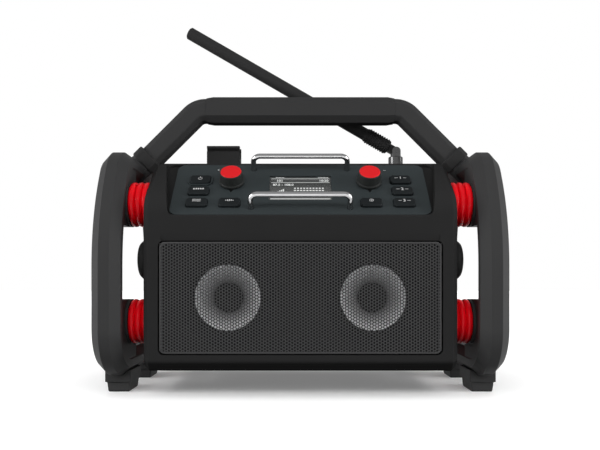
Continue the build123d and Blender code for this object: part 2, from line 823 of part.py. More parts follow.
# ---------------------------------------------------------------- speakers
surround_radius = speaker_opening - surround_gap
cone_radius = surround_radius - surround_width
flange_face = baffle_face - speaker_flange
basket_back = baffle_face + basket_depth
neck_radius = cone_neck + basket_neck_gap
for side_name, side in SIDES.items():
    centre = (side * speaker_x, 0, speaker_z)
    profile_plane = axial_plane(centre, (0, 1, 0), (1, 0, 0))
    speaker_axis = Axis(centre, (0, 1, 0))

    with BuildPart() as basket:
        with BuildSketch(profile_plane):
            with BuildLine():
                Polyline(
                    (surround_radius, flange_face),
                    (speaker_flange_radius, flange_face),
                    (speaker_flange_radius, baffle_face),
                    (speaker_opening - slip, baffle_face),
                    (speaker_opening - slip, baffle_back),
                    (basket_back_radius, basket_back),
                    (neck_radius, basket_back),
                    (neck_radius, basket_back - basket_wall),
                    (basket_back_radius - basket_wall, basket_back - basket_wall),
                    (surround_radius, baffle_back),
                    close=True,
                )
            make_face()
        revolve(axis=speaker_axis)
        with BuildSketch(Plane.XZ.offset(-basket_back + basket_wall)):
            with Locations((side * speaker_x, speaker_z)):
                with PolarLocations(
                    speaker_opening - window_inset, basket_windows, start_angle=45
                ):
                    Rectangle(window_width, window_length)
        extrude(amount=basket_depth - baffle_thickness - 2 * basket_wall, mode=Mode.SUBTRACT)
    basket.part.label = f"speaker_basket_{side_name}"
    export_step(basket.part, f"parts/{basket.part.label}.step")

    with BuildPart() as cone:
        with BuildSketch(profile_plane):
            with BuildLine():
                Polyline(
                    (0, flange_face + dust_cap_crown),
                    (dust_cap_crown_radius, flange_face + dust_cap_step),
                    (dust_cap_radius, flange_face + dust_cap_sink),
                    (cone_radius, flange_face + cone_skin / 2),
                    (cone_radius + surround_crest, flange_face - surround_rise),
                    (surround_radius - surround_crest, flange_face - surround_rise),
                    (surround_radius, flange_face),
                    (surround_radius, flange_face + cone_skin),
                    (cone_radius, flange_face + 3 * cone_skin / 2),
                    (cone_neck, flange_face + cone_depth),
                    (0, flange_face + cone_depth),
                    close=True,
                )
            make_face()
        revolve(axis=speaker_axis)
    cone.part.label = f"speaker_cone_{side_name}"
    export_step(cone.part, f"parts/{cone.part.label}.step")

    with BuildPart() as magnet:
        with BuildSketch(Plane.XZ.offset(-basket_back)):
            with Locations((side * speaker_x, speaker_z)):
                Circle(magnet_radius)
        extrude(amount=-magnet_thickness)
        chamfer(magnet.edges().filter_by(GeomType.CIRCLE), magnet_edge)
    magnet.part.label = f"speaker_magnet_{side_name}"
    export_step(magnet.part, f"parts/{magnet.part.label}.step")

# ---------------------------------------------------------------- side frames
def leg_plane_at(side, along):
    """Plane across a handle leg, its normal running down the leg."""
    reach = math.sqrt(2) * along              # |x| - z on the leg's middle line
    x, z = (leg_middle_line + reach) / 2, (leg_middle_line - reach) / 2
    return Plane(origin=(side * x, handle_y, z), x_dir=(0, 1, 0), z_dir=(side, 0, -1))


for side_name, side in SIDES.items():
    with BuildPart() as side_frame:
        with BuildSketch(Plane.YZ.offset(side * frame_inner)):
            frame_outline()
        extrude(amount=side * frame_width)
        with BuildSketch(Plane.YZ.offset(side * frame_inner)):
            frame_outline()
            offset(amount=-frame_thickness)
        extrude(amount=side * frame_width, mode=Mode.SUBTRACT)
        chamfer(side_frame.faces().filter_by(Axis.X).edges(), frame_chamfer)
        # corner webs that carry the dampers' bosses
        for y, z in damper_places:
            reach = web_size / 2 - damper_radius
            corner = (y + math.copysign(reach, y), z + math.copysign(reach, z - frame_middle_z))
            with BuildSketch(Plane.YZ.offset(side * web_start)):
                frame_outline()
                offset(amount=-frame_thickness / 2)
                with Locations(corner):
                    RectangleRounded(web_size, web_size, damper_radius, mode=Mode.INTERSECT)
            extrude(amount=side * web_thickness)
        with BuildSketch(Plane.YZ.offset(side * damper_end)):
            with Locations(*damper_places):
                Circle(damper_radius)
        extrude(amount=side * (web_start - damper_end))
        with BuildSketch(Plane.YZ.offset(side * damper_end)):
            with Locations(*damper_places):
                Circle(bolt_radius + screw_fit)
        extrude(amount=side * 2 * frame_width, mode=Mode.SUBTRACT)
        # room for the heads of the dampers' bolts
        with BuildSketch(Plane.YZ.offset(side * web_face)):
            with Locations(*damper_places):
                Circle(bolt_head_radius + slip)
        extrude(amount=side * frame_width, mode=Mode.SUBTRACT)
        # socket that takes the handle's leg
        with BuildSketch(leg_plane_at(side, handle_foot)):
            octagon(
                handle_depth + 2 * socket_rim, handle_thickness + 2 * socket_rim, handle_chamfer
            )
        extrude(amount=socket_depth)
    side_frame.part.label = f"side_frame_{side_name}"
    export_step(side_frame.part, f"parts/{side_frame.part.label}.step")

# ---------------------------------------------------------------- handle
leg_reach = math.sqrt(2) * (handle_foot + leg_overrun)
leg_end_outer = ((leg_outer_line + leg_reach) / 2, (leg_outer_line - leg_reach) / 2)
leg_end_inner = ((leg_inner_line + leg_reach) / 2, (leg_inner_line - leg_reach) / 2)
bend_outer = (leg_outer_line - handle_top, handle_top)
bend_inner = (leg_inner_line - handle_bottom, handle_bottom)
with BuildPart() as handle_bar:
    with BuildSketch(Plane.XZ.offset(-handle_y - handle_depth / 2)):
        with BuildLine():
            FilletPolyline(
                leg_end_outer,
                bend_outer,
                (-bend_outer[0], handle_top),
                (-leg_end_outer[0], leg_end_outer[1]),
                (-leg_end_inner[0], leg_end_inner[1]),
                (-bend_inner[0], handle_bottom),
                bend_inner,
                leg_end_inner,
                radius=[
                    0, handle_outer_bend, handle_outer_bend, 0,
                    0, handle_inner_bend, handle_inner_bend, 0,
                ],
                close=True,
            )
        make_face()
    extrude(amount=handle_depth)
    chamfer(handle_bar.faces().filter_by(Axis.Y).edges(), handle_chamfer)
    for side in SIDES.values():
        split(bisect_by=leg_plane_at(side, handle_foot), keep=Keep.BOTTOM)
handle_bar.part.label = "handle_bar"
export_step(handle_bar.part, "parts/handle_bar.step")


def grip_plane_at(side, reach):
    """Plane across the handle's bar, its normal pointing to the given side."""
    return Plane(
        origin=(side * reach, handle_y, handle_middle_z), x_dir=(0, 1, 0), z_dir=(side, 0, 0)
    )


with BuildPart() as handle_grip:
    grip_start = grip_half_width - grip_end
    with BuildSketch(grip_plane_at(1, 0)):
        octagon(handle_depth + 2 * grip_wall, handle_thickness + 2 * grip_wall, grip_chamfer)
    extrude(amount=grip_start, both=True)
    for side in SIDES.values():
        with BuildSketch(grip_plane_at(side, grip_start)):
            octagon(handle_depth + 2 * grip_wall, handle_thickness + 2 * grip_wall, grip_chamfer)
        extrude(amount=grip_end, taper=grip_taper)
    with BuildSketch(grip_plane_at(1, 0)):
        octagon(handle_depth, handle_thickness, handle_chamfer)
    extrude(amount=grip_half_width, both=True, mode=Mode.SUBTRACT)
handle_grip.part.label = "handle_grip"
export_step(handle_grip.part, "parts/handle_grip.step")

for side_name, side in SIDES.items():
    with BuildPart() as collar:
        with BuildSketch(leg_plane_at(side, handle_foot)):
            octagon(
                handle_depth + 2 * collar_wall, handle_thickness + 2 * collar_wall, handle_chamfer
            )
        extrude(amount=-collar_length)
        leg_axis = Axis((0, 0, 0), (side, 0, -1))
        chamfer(collar.faces().filter_by(leg_axis).edges(), collar_edge)
        with BuildSketch(leg_plane_at(side, handle_foot)):
            octagon(handle_depth, handle_thickness, handle_chamfer)
        extrude(amount=-collar_length, mode=Mode.SUBTRACT)
    collar.part.label = f"handle_collar_{side_name}"
    export_step(collar.part, f"parts/{collar.part.label}.step")

# ---------------------------------------------------------------- feet
frame_flat = frame_width / 2 - frame_chamfer
foot_lip_half_width = frame_flat + foot_lip
for end_name, end in ENDS.items():
    for side_name, side in SIDES.items():
        middle = side * frame_middle_x
        with BuildPart() as foot:
            with BuildSketch(Plane.XY.offset(foot_flange_base)):
                with Locations((middle, end * foot_y)):
                    Rectangle(frame_width - 2 * foot_side_gap, foot_length)
            extrude(amount=-foot_flange_base, taper=foot_taper)
            toe = foot.edges().filter_by(GeomType.LINE).filter_by(Axis.X).sort_by(Axis.Z)[:2]
            fillet(toe, foot_toe_round)
            with BuildSketch(Plane.XZ.offset(-end * foot_y + foot_flange_length / 2)):
                with Locations((middle, foot_flange_base)):
                    Rectangle(
                        frame_width - 2 * foot_flange_side_gap,
                        frame_base + foot_lip - foot_flange_base,
                        align=(Align.CENTER, Align.MIN),
                    )
                with BuildLine():
                    Polyline(
                        (middle - frame_flat, frame_base),
                        (middle + frame_flat, frame_base),
                        (middle + foot_lip_half_width, frame_base + foot_lip),
                        (middle - foot_lip_half_width, frame_base + foot_lip),
                        close=True,
                    )
                make_face(mode=Mode.SUBTRACT)
            extrude(amount=-foot_flange_length)
        foot.part.label = f"foot_{end_name}_{side_name}"
        export_step(foot.part, f"parts/{foot.part.label}.step")

# ---------------------------------------------------------------- dampers
bore_end = damper_end - damper_bore_depth
for end_name, end in ENDS.items():
    for side_name, side in SIDES.items():
        with BuildPart() as dampers:
            for z in damper_heights:
                centre = (0, end * damper_y, z)
                ribs = [(0, body_half_width), (damper_root_radius, body_half_width)]
                for rib in range(damper_ribs):
                    crest = body_half_width + (rib + 0.5) * damper_rib_pitch
                    valley = body_half_width + (rib + 1) * damper_rib_pitch
                    ribs += [(damper_radius, crest), (damper_root_radius, valley)]
                ribs += [
                    (bolt_radius + screw_fit, damper_end),
                    (bolt_radius + screw_fit, bore_end),
                    (0, bore_end),
                ]
                with BuildSketch(axial_plane(centre, (side, 0, 0), (0, 1, 0))):
                    with BuildLine():
                        Polyline(ribs, close=True)
                    make_face()
                revolve(axis=Axis(centre, (side, 0, 0)))
        dampers.part.label = f"dampers_{end_name}_{side_name}"
        export_step(dampers.part, f"parts/{dampers.part.label}.step")

with BuildPart() as damper_bolts:
    for side in SIDES.values():
        with BuildSketch(Plane.YZ.offset(side * web_face)):
            with Locations(*damper_places):
                RegularPolygon(bolt_head_radius, 6)
        extrude(amount=side * bolt_head)
        with BuildSketch(Plane.YZ.offset(side * web_face)):
            with Locations(*damper_places):
                Circle(bolt_radius)
        extrude(amount=-side * (web_face - bore_end - bolt_end_gap))
damper_bolts.part.label = "damper_bolts"
export_step(damper_bolts.part, "parts/damper_bolts.step")

for side_name, side in SIDES.items():
    with BuildPart() as bump_stop:
        with BuildSketch(Plane.YZ.offset(side * body_half_width)):
            with Locations((stop_y, stop_z)):
                Circle(stop_radius)
        extrude(amount=side * stop_height)
        outer_face = bump_stop.faces().sort_by(Axis((0, 0, 0), (side, 0, 0)))[-1]
        chamfer(outer_face.edges(), stop_round)
    bump_stop.part.label = f"bump_stop_{side_name}"
    export_step(bump_stop.part, f"parts/{bump_stop.part.label}.step")

# ---------------------------------------------------------------- antenna
pivot = (antenna_x, antenna_y, pivot_z)
antenna_front = Plane.XZ.offset(-antenna_y)
base_start = antenna_seat + slip
with BuildPart() as antenna_base:
    with BuildSketch(Plane.XY.offset(base_start)):
        with Locations((antenna_x, antenna_y)):
            Circle(ferrule_radius)
    extrude(amount=ferrule_top - base_start)
    chamfer(antenna_base.edges().filter_by(GeomType.CIRCLE), ferrule_edge)
    with BuildSketch(Plane.XY.offset(base_start)):
        with Locations((antenna_x, antenna_y)):
            Circle(spindle_radius)
    extrude(amount=-(antenna_boss + wall))
    # fork
    with BuildSketch(antenna_front):
        with Locations((antenna_x, pivot_z)):
            Circle(fork_radius)
        with Locations((antenna_x, ferrule_top - fork_bite)):
            Rectangle(
                2 * fork_radius, pivot_rise + fork_bite, align=(Align.CENTER, Align.MIN)
            )
        with Locations((antenna_x, pivot_z)):
            Circle(pin_radius + running_fit, mode=Mode.SUBTRACT)
    extrude(amount=fork_half_width, both=True)
    with BuildSketch(Plane.XY.offset(ferrule_top)):
        with Locations((antenna_x, antenna_y)):
            Rectangle(4 * fork_radius, 2 * (tongue_half_width + slip))
    extrude(amount=2 * pivot_rise + fork_radius, mode=Mode.SUBTRACT)
antenna_base.part.label = "antenna_base"
export_step(antenna_base.part, "parts/antenna_base.step")

with BuildPart() as antenna_pin:
    with BuildSketch(antenna_front):
        with Locations((antenna_x, pivot_z)):
            Circle(pin_radius)
    extrude(amount=fork_half_width + slip, both=True)
antenna_pin.part.label = "antenna_pin"
export_step(antenna_pin.part, "parts/antenna_pin.step")

lean = math.radians(whip_angle)
whip_dir = (-math.cos(lean), 0, math.sin(lean))
tongue_radius = fork_radius - slip
tongue_length = whip_collar_start + whip_collar_edge
with BuildPart() as antenna_whip:
    with BuildSketch(axial_plane(pivot, whip_dir, (0, 1, 0))):
        with BuildLine():
            Polyline(
                (0, whip_collar_start),
                (whip_collar_radius - whip_collar_edge, whip_collar_start),
                (whip_collar_radius, whip_collar_start + whip_collar_edge),
                (whip_collar_radius, whip_collar_end),
                (whip_radius, whip_collar_end + whip_collar_edge),
                (whip_radius, whip_length - whip_tip_edge),
                (whip_radius - whip_tip_edge, whip_length),
                (0, whip_length),
                close=True,
            )
        make_face()
    revolve(axis=Axis(pivot, whip_dir))
    # tongue in the fork
    with BuildSketch(antenna_front):
        with Locations((antenna_x, pivot_z)):
            Circle(tongue_radius)
            with Locations(Location((0, 0), 180 - whip_angle)):
                Rectangle(tongue_length, 2 * tongue_radius, align=(Align.MIN, Align.CENTER))
            Circle(pin_radius + running_fit, mode=Mode.SUBTRACT)
    extrude(amount=tongue_half_width, both=True)
antenna_whip.part.label = "antenna_whip"
export_step(antenna_whip.part, "parts/antenna_whip.step")

clip_slot_radius = whip_radius + clip_clearance
with BuildPart() as antenna_clip:
    with BuildSketch(Plane.YZ.offset(clip_x)):
        with Locations((antenna_y, body_top)):
            Rectangle(
                2 * (clip_slot_radius + clip_jaw), pivot_z + clip_rise - body_top,
                align=(Align.CENTER, Align.MIN),
            )
        with Locations((antenna_y, pivot_z)):
            Circle(clip_slot_radius, mode=Mode.SUBTRACT)
            Rectangle(
                2 * clip_slot_radius, 2 * clip_slot_radius,
                align=(Align.CENTER, Align.MIN), mode=Mode.SUBTRACT,
            )
    extrude(amount=clip_length / 2, both=True)
    upright = antenna_clip.edges().filter_by(Axis.Z).group_by(Axis.Y)
    chamfer(upright[0] + upright[-1], clip_jaw / 2)
antenna_clip.part.label = "antenna_clip"
export_step(antenna_clip.part, "parts/antenna_clip.step")

# ---------------------------------------------------------------- battery door
door_face = body_rear + door_proud
with BuildPart() as battery_door:
    with BuildSketch(Plane.XZ.offset(-door_face)):
        with Locations((0, bay_middle)):
            Rectangle(2 * door_half_width, door_height)
    extrude(amount=door_thickness)
    chamfer(battery_door.faces().sort_by(Axis.Y)[-1].edges(), door_edge)
    for end in ENDS.values():
        with BuildSketch(Plane.XY.offset(bay_middle + end * (door_knuckle + door_gap))):
            with Locations((hinge_x, hinge_y)):
                Circle(hinge_radius)
                Rectangle(
                    -hinge_x - bay_half_width, hinge_radius, align=(Align.MIN, Align.MAX)
                )
                Circle(hinge_pin_radius + running_fit, mode=Mode.SUBTRACT)
        extrude(amount=door_knuckle / 2, both=True)
    # finger notch
    with BuildSketch(Plane.XZ.offset(-door_face)):
        with Locations((door_half_width, bay_middle)):
            Rectangle(2 * notch_width, notch_height)
    extrude(amount=door_thickness / 2, mode=Mode.SUBTRACT)
battery_door.part.label = "battery_door"
export_step(battery_door.part, "parts/battery_door.step")

with BuildPart() as door_pin:
    with BuildSketch(Plane.XY.offset(bay_middle)):
        with Locations((hinge_x, hinge_y)):
            Circle(hinge_pin_radius)
    extrude(amount=1.5 * door_knuckle + door_gap, both=True)
door_pin.part.label = "battery_door_pin"
export_step(door_pin.part, "parts/battery_door_pin.step")

with BuildPart() as battery_contacts:
    with BuildSketch(Plane.XZ.offset(-bay_front)):
        with Locations((0, bay_middle)):
            Rectangle(contact_width, contact_height)
    extrude(amount=-contact_depth)
    with BuildSketch(Plane.XZ.offset(-bay_front - contact_depth)):
        with Locations(*[(column * blade_pitch, bay_middle) for column in (-1, 0, 1)]):
            Rectangle(blade_width, blade_height)
    extrude(amount=-blade_length)
battery_contacts.part.label = "battery_contacts"
export_step(battery_contacts.part, "parts/battery_contacts.step")

# ---------------------------------------------------------------- socket flap
flap_face = body_rear + flap_proud
flap_barrel = flap_half_width - 2 * flap_hinge_radius - slip
with BuildPart() as socket_flap:
    with BuildSketch(Plane.XZ.offset(-flap_face)):
        with Locations((flap_x, flap_middle)):
            Rectangle(2 * flap_half_width, flap_height)
    extrude(amount=flap_thickness)
    with BuildSketch(Plane.YZ.offset(flap_x)):
        with Locations((flap_hinge_y, flap_hinge_z)):
            Circle(flap_hinge_radius)
            Rectangle(
                flap_hinge_radius, flap_hinge_z - flap_top + 2 * flap_hinge_radius,
                align=(Align.MAX, Align.MAX),
            )
    extrude(amount=flap_barrel, both=True)
    with BuildSketch(Plane.YZ.offset(flap_x)):
        with Locations((flap_hinge_y, flap_hinge_z)):
            Circle(flap_stub_radius)
    extrude(amount=flap_half_width - flap_hinge_radius, both=True)
socket_flap.part.label = "socket_flap"
export_step(socket_flap.part, "parts/socket_flap.step")

socket_places = [(flap_x + side * socket_pitch / 2, flap_middle) for side in SIDES.values()]
socket_floor = body_rear - flap_recess
socket_face = socket_floor + socket_rise
with BuildPart() as socket_block:
    with BuildSketch(Plane.XZ.offset(-socket_floor)):
        with Locations((flap_x, flap_middle)):
            Rectangle(socket_width, socket_height)
    extrude(amount=-socket_rise)
    with BuildSketch(Plane.XZ.offset(-socket_face)):
        with Locations(*socket_places):
            Circle(socket_ring)
    extrude(amount=-socket_ring_rise)
    with BuildSketch(Plane.XZ.offset(-socket_face - socket_ring_rise)):
        with Locations(*socket_places):
            Circle(socket_bore)
    extrude(amount=socket_bore_depth, mode=Mode.SUBTRACT)
socket_block.part.label = "socket_block"
export_step(socket_block.part, "parts/socket_block.step")

# ---------------------------------------------------------------- mains inlet and power supply
inlet_face = body_rear + inlet_flange_thickness
inlet_mouth_floor = body_rear - inlet_depth + inlet_floor
with BuildPart() as mains_inlet:
    with BuildSketch(Plane.XZ.offset(-body_rear)):
        with Locations((inlet_x, inlet_z)):
            Rectangle(inlet_width, inlet_height)
    extrude(amount=inlet_depth)
    with BuildSketch(Plane.XZ.offset(-body_rear)):
        with Locations((inlet_x, inlet_z)):
            RectangleRounded(
                inlet_width + 2 * inlet_flange, inlet_height + 2 * inlet_flange, inlet_corner
            )
    extrude(amount=-inlet_flange_thickness)
    with BuildSketch(Plane.XZ.offset(-inlet_face)):
        with Locations((inlet_x, inlet_z)):
            SlotOverall(inlet_mouth_width, inlet_mouth_height)
    extrude(amount=inlet_face - inlet_mouth_floor, mode=Mode.SUBTRACT)
    with BuildSketch(Plane.XZ.offset(-inlet_mouth_floor)):
        with Locations(
            *[(inlet_x + side * inlet_pin_pitch / 2, inlet_z) for side in SIDES.values()]
        ):
            Circle(inlet_pin_radius)
    extrude(amount=-inlet_pin_length)
mains_inlet.part.label = "mains_inlet"
export_step(mains_inlet.part, "parts/mains_inlet.step")

supply_floor = body_bottom + wall
with BuildPart() as power_supply:
    with BuildSketch(Plane.XY.offset(supply_floor)):
        with Locations((supply_x, supply_y)):
            Rectangle(supply_width, supply_length - 2 * supply_coil)
    extrude(amount=supply_height)
    with BuildSketch(Plane.XY.offset(supply_floor + supply_coil / 2)):
        with Locations((supply_x, supply_y)):
            RectangleRounded(supply_width - 2 * supply_coil, supply_length, coil_corner)
    extrude(amount=supply_height - supply_coil)
power_supply.part.label = "power_supply"
export_step(power_supply.part, "parts/power_supply.step")

# ---------------------------------------------------------------- main board
board_rear = board_y + board_thickness
post_heights = (board_bottom + board_post_inset, board_top - board_post_inset)
board_parts = [                           # middle x, z and size of the parts on the board
    ((-60.0, 150.0), (28.0, 22.0)),
    ((30.0, 150.0), (28.0, 22.0)),
    ((60.0, 90.0), (50.0, 16.0)),
]
with BuildPart() as main_board:
    with BuildSketch(Plane.XZ.offset(-board_y)):
        with Locations((0, (board_bottom + board_top) / 2)):
            Rectangle(2 * board_half_width, board_top - board_bottom)
    extrude(amount=-board_thickness)
    with BuildSketch(Plane.XZ.offset(-board_rear)):
        with Locations(
            *[(side * board_post_x, z) for side in SIDES.values() for z in post_heights]
        ):
            Rectangle(2 * board_post_radius, 2 * board_post_radius)
    extrude(amount=-(bay_front - wall - board_rear))
    with BuildSketch(Plane.XZ.offset(-board_y)):
        for place, size in board_parts:
            with Locations(place):
                Rectangle(*size)
    extrude(amount=part_height)
main_board.part.label = "main_board"
export_step(main_board.part, "parts/main_board.step")

# ---------------------------------------------------------------- housing screws
with BuildPart() as housing_screws:
    with BuildSketch(Plane.XZ.offset(-screw_head_y)):
        with Locations(*screw_places):
            Circle(screw_head_radius)
    extrude(amount=screw_head)
    with BuildSketch(Plane.XZ.offset(-screw_head_y + screw_head)):
        with Locations(*screw_places):
            Circle(screw_radius)
    extrude(amount=screw_length - screw_head)
housing_screws.part.label = "housing_screws"
export_step(housing_screws.part, "parts/housing_screws.step")
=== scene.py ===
"""Jobsite radio: finishes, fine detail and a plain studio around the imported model.

Metres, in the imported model's own frame: +X is the user's right, -Y the front and
+Z up, with the origin on the ground under the middle of the side frames. Each
sub-assembly is a class that builds its own pieces and dresses the nodes it owns.
"""
import json
import logging
import math
from dataclasses import dataclass, field
from enum import Enum
from functools import lru_cache
from typing import Dict, Iterable, List, Optional, Sequence, Tuple, Union

import bmesh
import bpy
from mathutils import Matrix, Vector

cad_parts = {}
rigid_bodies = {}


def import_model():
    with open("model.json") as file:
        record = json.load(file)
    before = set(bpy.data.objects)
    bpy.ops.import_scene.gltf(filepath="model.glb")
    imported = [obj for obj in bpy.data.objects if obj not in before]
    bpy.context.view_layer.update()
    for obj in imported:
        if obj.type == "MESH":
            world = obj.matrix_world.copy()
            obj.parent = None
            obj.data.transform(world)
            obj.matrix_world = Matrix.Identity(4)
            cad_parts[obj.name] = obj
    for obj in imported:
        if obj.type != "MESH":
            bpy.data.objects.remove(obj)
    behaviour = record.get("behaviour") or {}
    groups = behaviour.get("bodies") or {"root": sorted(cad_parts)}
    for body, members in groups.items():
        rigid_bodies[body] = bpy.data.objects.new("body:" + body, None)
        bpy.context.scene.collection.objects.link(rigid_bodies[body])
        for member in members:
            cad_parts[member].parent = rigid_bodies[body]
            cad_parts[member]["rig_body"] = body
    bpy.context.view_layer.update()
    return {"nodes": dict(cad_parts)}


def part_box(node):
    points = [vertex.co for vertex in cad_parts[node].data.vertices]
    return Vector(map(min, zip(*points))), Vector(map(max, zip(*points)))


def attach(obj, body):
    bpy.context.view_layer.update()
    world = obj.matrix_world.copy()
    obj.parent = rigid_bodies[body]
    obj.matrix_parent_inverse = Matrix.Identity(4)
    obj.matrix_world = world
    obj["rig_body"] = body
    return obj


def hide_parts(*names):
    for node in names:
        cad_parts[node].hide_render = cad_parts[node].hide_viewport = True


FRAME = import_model()
LOG = logging.getLogger("jobsite_radio")

Colour = Tuple[float, float, float]
Point = Tuple[float, float, float]
Spot = Tuple[float, float]
Feed = Union[bpy.types.NodeSocket, float, Sequence[float]]

MM = 0.001

EDGE_MASK = "edge"              # face attribute that is 1 on rounded edges
WELD = 1e-6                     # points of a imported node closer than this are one
SEAM = 1e-7                     # the same for a mesh that is built here
FLAT = 0.6                      # degrees, under which two faces are one flat face
SHARP = 30.0                    # degrees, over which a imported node's edge is rounded
CREASE = 38.0                   # degrees, over which shading breaks
NO_OUTLINE = (10.0, 10.0, 0.0)  # an outline so wide that every copy is kept


class Body(Enum):
    """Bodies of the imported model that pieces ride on."""

    RADIO = "radio"
    VOLUME_KNOB = "volume_knob"
    TUNING_KNOB = "tuning_knob"
    POWER_KEY = "power_key"
    MODE_KEY = "mode_key"
    MENU_KEY = "menu_key"
    BASS_KEY = "bass_key"
    INFO_KEY = "info_key"
    PRESET_ONE_KEY = "preset_one_key"
    PRESET_TWO_KEY = "preset_two_key"
    PRESET_THREE_KEY = "preset_three_key"
    ANTENNA_BASE = "antenna_base"
    ANTENNA_WHIP = "antenna_whip"
    BATTERY_DOOR = "battery_door"
    SOCKET_FLAP = "socket_flap"


class Slot(Enum):
    """Material slots of the record, named beside some of the deck's nodes."""

    HOUSING = "housing"
    PANEL = "panel"
    KNOB = "knob"
    KNOB_CAP = "knob_cap"
    KEY = "key"
    CHROME_ROD = "chrome_rod"
    DARK_CHROME = "dark_chrome"
    LENS = "lens"
    SCREEN = "screen"
    GRILLE = "grille"
    FRAME = "frame"
    HANDLE = "handle"
    RUBBER_BLACK = "rubber_black"
    RUBBER_RED = "rubber_red"
    METAL_PART = "metal_part"


class Side(Enum):
    """Sides of the radio, each by its word in names and its sign along X."""

    LEFT = ("left", -1)
    RIGHT = ("right", 1)

    def __init__(self, word: str, sign: int) -> None:
        """Keep the word and the sign."""
        self.word, self.sign = word, sign


class End(Enum):
    """Ends of the side frames, each by its word in names and its sign along Y."""

    FRONT = ("front", -1)
    REAR = ("rear", 1)

    def __init__(self, word: str, sign: int) -> None:
        """Keep the word and the sign."""
        self.word, self.sign = word, sign


# ---------------------------------------------------------------- node sheets
class NodeSheet:
    """Nodes under construction in one tree, with short calls for building them."""

    def __init__(self, tree: bpy.types.NodeTree) -> None:
        """Work on the given tree."""
        self.tree = tree

    def feed(self, target: bpy.types.NodeSocket, source: Feed) -> None:
        """Link an input to a socket, or set it to a value.

        Args:
            target: the input's socket.
            source: an output's socket, or the value.
        """
        if isinstance(source, bpy.types.NodeSocket):
            self.tree.links.new(source, target)
        else:
            target.default_value = source

    def add(
        self, kind: str, feeds: Optional[Dict[Union[str, int], Feed]] = None, **settings: object,
    ) -> bpy.types.Node:
        """Add a node.

        Args:
            kind: the node's type.
            feeds: what goes into its inputs, by name or place.
            settings: properties to set on it.

        Returns:
            The new node.
        """
        node = self.tree.nodes.new(kind)
        for key, value in settings.items():
            setattr(node, key, value)
        for key, source in (feeds or {}).items():
            self.feed(node.inputs[key], source)
        return node

    def math(self, operation: str, *terms: Feed, **settings: object) -> bpy.types.NodeSocket:
        """Work out a number.

        Args:
            operation: what is done.
            terms: the sockets and numbers that it is done to.
            settings: properties of the node.

        Returns:
            The result's socket.
        """
        node = self.add("ShaderNodeMath", dict(enumerate(terms)), operation=operation, **settings)
        return node.outputs[0]

    def vector_math(self, operation: str, *terms: Feed) -> bpy.types.Node:
        """Add a node that works on vectors, with its terms in order."""
        return self.add("ShaderNodeVectorMath", dict(enumerate(terms)), operation=operation)

    def vector(self, **parts: Feed) -> bpy.types.NodeSocket:
        """Join X, Y and Z into a vector, with 0 for what is left out."""
        return self.add("ShaderNodeCombineXYZ", parts).outputs[0]

    def ramp(
        self, value: Feed, start: float, end: float, low: float = 0.0, high: float = 1.0,
        smooth: bool = False,
    ) -> bpy.types.NodeSocket:
        """Map one range onto another, held at its ends.

        Args:
            value: what is mapped.
            start: where the first range starts.
            end: where it ends.
            low: the result at the start.
            high: the result at the end.
            smooth: whether it eases in and out.

        Returns:
            The result's socket.
        """
        feeds = {"Value": value, "From Min": start, "From Max": end, "To Min": low, "To Max": high}
        course = "SMOOTHSTEP" if smooth else "LINEAR"
        return self.add("ShaderNodeMapRange", feeds, interpolation_type=course).outputs[0]

    def noise(self, place: Feed, scale: Feed, detail: float) -> bpy.types.NodeSocket:
        """Add a noise of the given scale and detail, from 0 to 1."""
        feeds = {"Vector": place, "Scale": scale, "Detail": detail}
        return self.add("ShaderNodeTexNoise", feeds).outputs["Fac"]


class GroupSheet(NodeSheet):
    """A node group under construction, with named inputs and outputs."""

    def __init__(self, name: str, kind: str) -> None:
        """Start an empty group.

        Args:
            name: the group's name.
            kind: the type of its tree.
        """
        super().__init__(bpy.data.node_groups.new(name, kind))
        self.inlet = self.tree.nodes.new("NodeGroupInput")
        self.outlet = self.tree.nodes.new("NodeGroupOutput")

    def takes(self, name: str, kind: str, value: Optional[float] = None) -> bpy.types.NodeSocket:
        """Add a named input.

        Args:
            name: the input's name.
            kind: Geometry, Int, Float, Vector or Material.
            value: its starting value.

        Returns:
            The input's socket inside the group.
        """
        socket = self.tree.interface.new_socket(name, in_out="INPUT", socket_type=f"NodeSocket{kind}")
        if value is not None:
            socket.default_value = value
        return self.inlet.outputs[name]

    def gives(self, name: str, kind: str, source: bpy.types.NodeSocket) -> None:
        """Add a named output.

        Args:
            name: the output's name.
            kind: Geometry or Float.
            source: the socket that it gives out.
        """
        self.tree.interface.new_socket(name, in_out="OUTPUT", socket_type=f"NodeSocket{kind}")
        self.feed(self.outlet.inputs[name], source)


# ---------------------------------------------------------------- shared effects
@lru_cache(maxsize=None)
def moulded_grain() -> bpy.types.NodeTree:
    """Build moulded grain, a fine height and a slow drift of tone round 1.

    Returns:
        The shared node group, with outputs Height and Tone.
    """
    sheet = GroupSheet("moulded_grain", "ShaderNodeTree")
    place = sheet.takes("Vector", "Vector")
    fine = sheet.noise(place, sheet.takes("Grain Scale", "Float", 1500.0), 3.0)
    slow = sheet.noise(place, sheet.takes("Drift Scale", "Float", 18.0), 4.0)
    centred = sheet.math("SUBTRACT", slow, 0.5)
    tone = sheet.math("MULTIPLY_ADD", centred, sheet.takes("Drift", "Float", 0.1), 1.0)
    sheet.gives("Height", "Float", fine)
    sheet.gives("Tone", "Float", tone)
    return sheet.tree


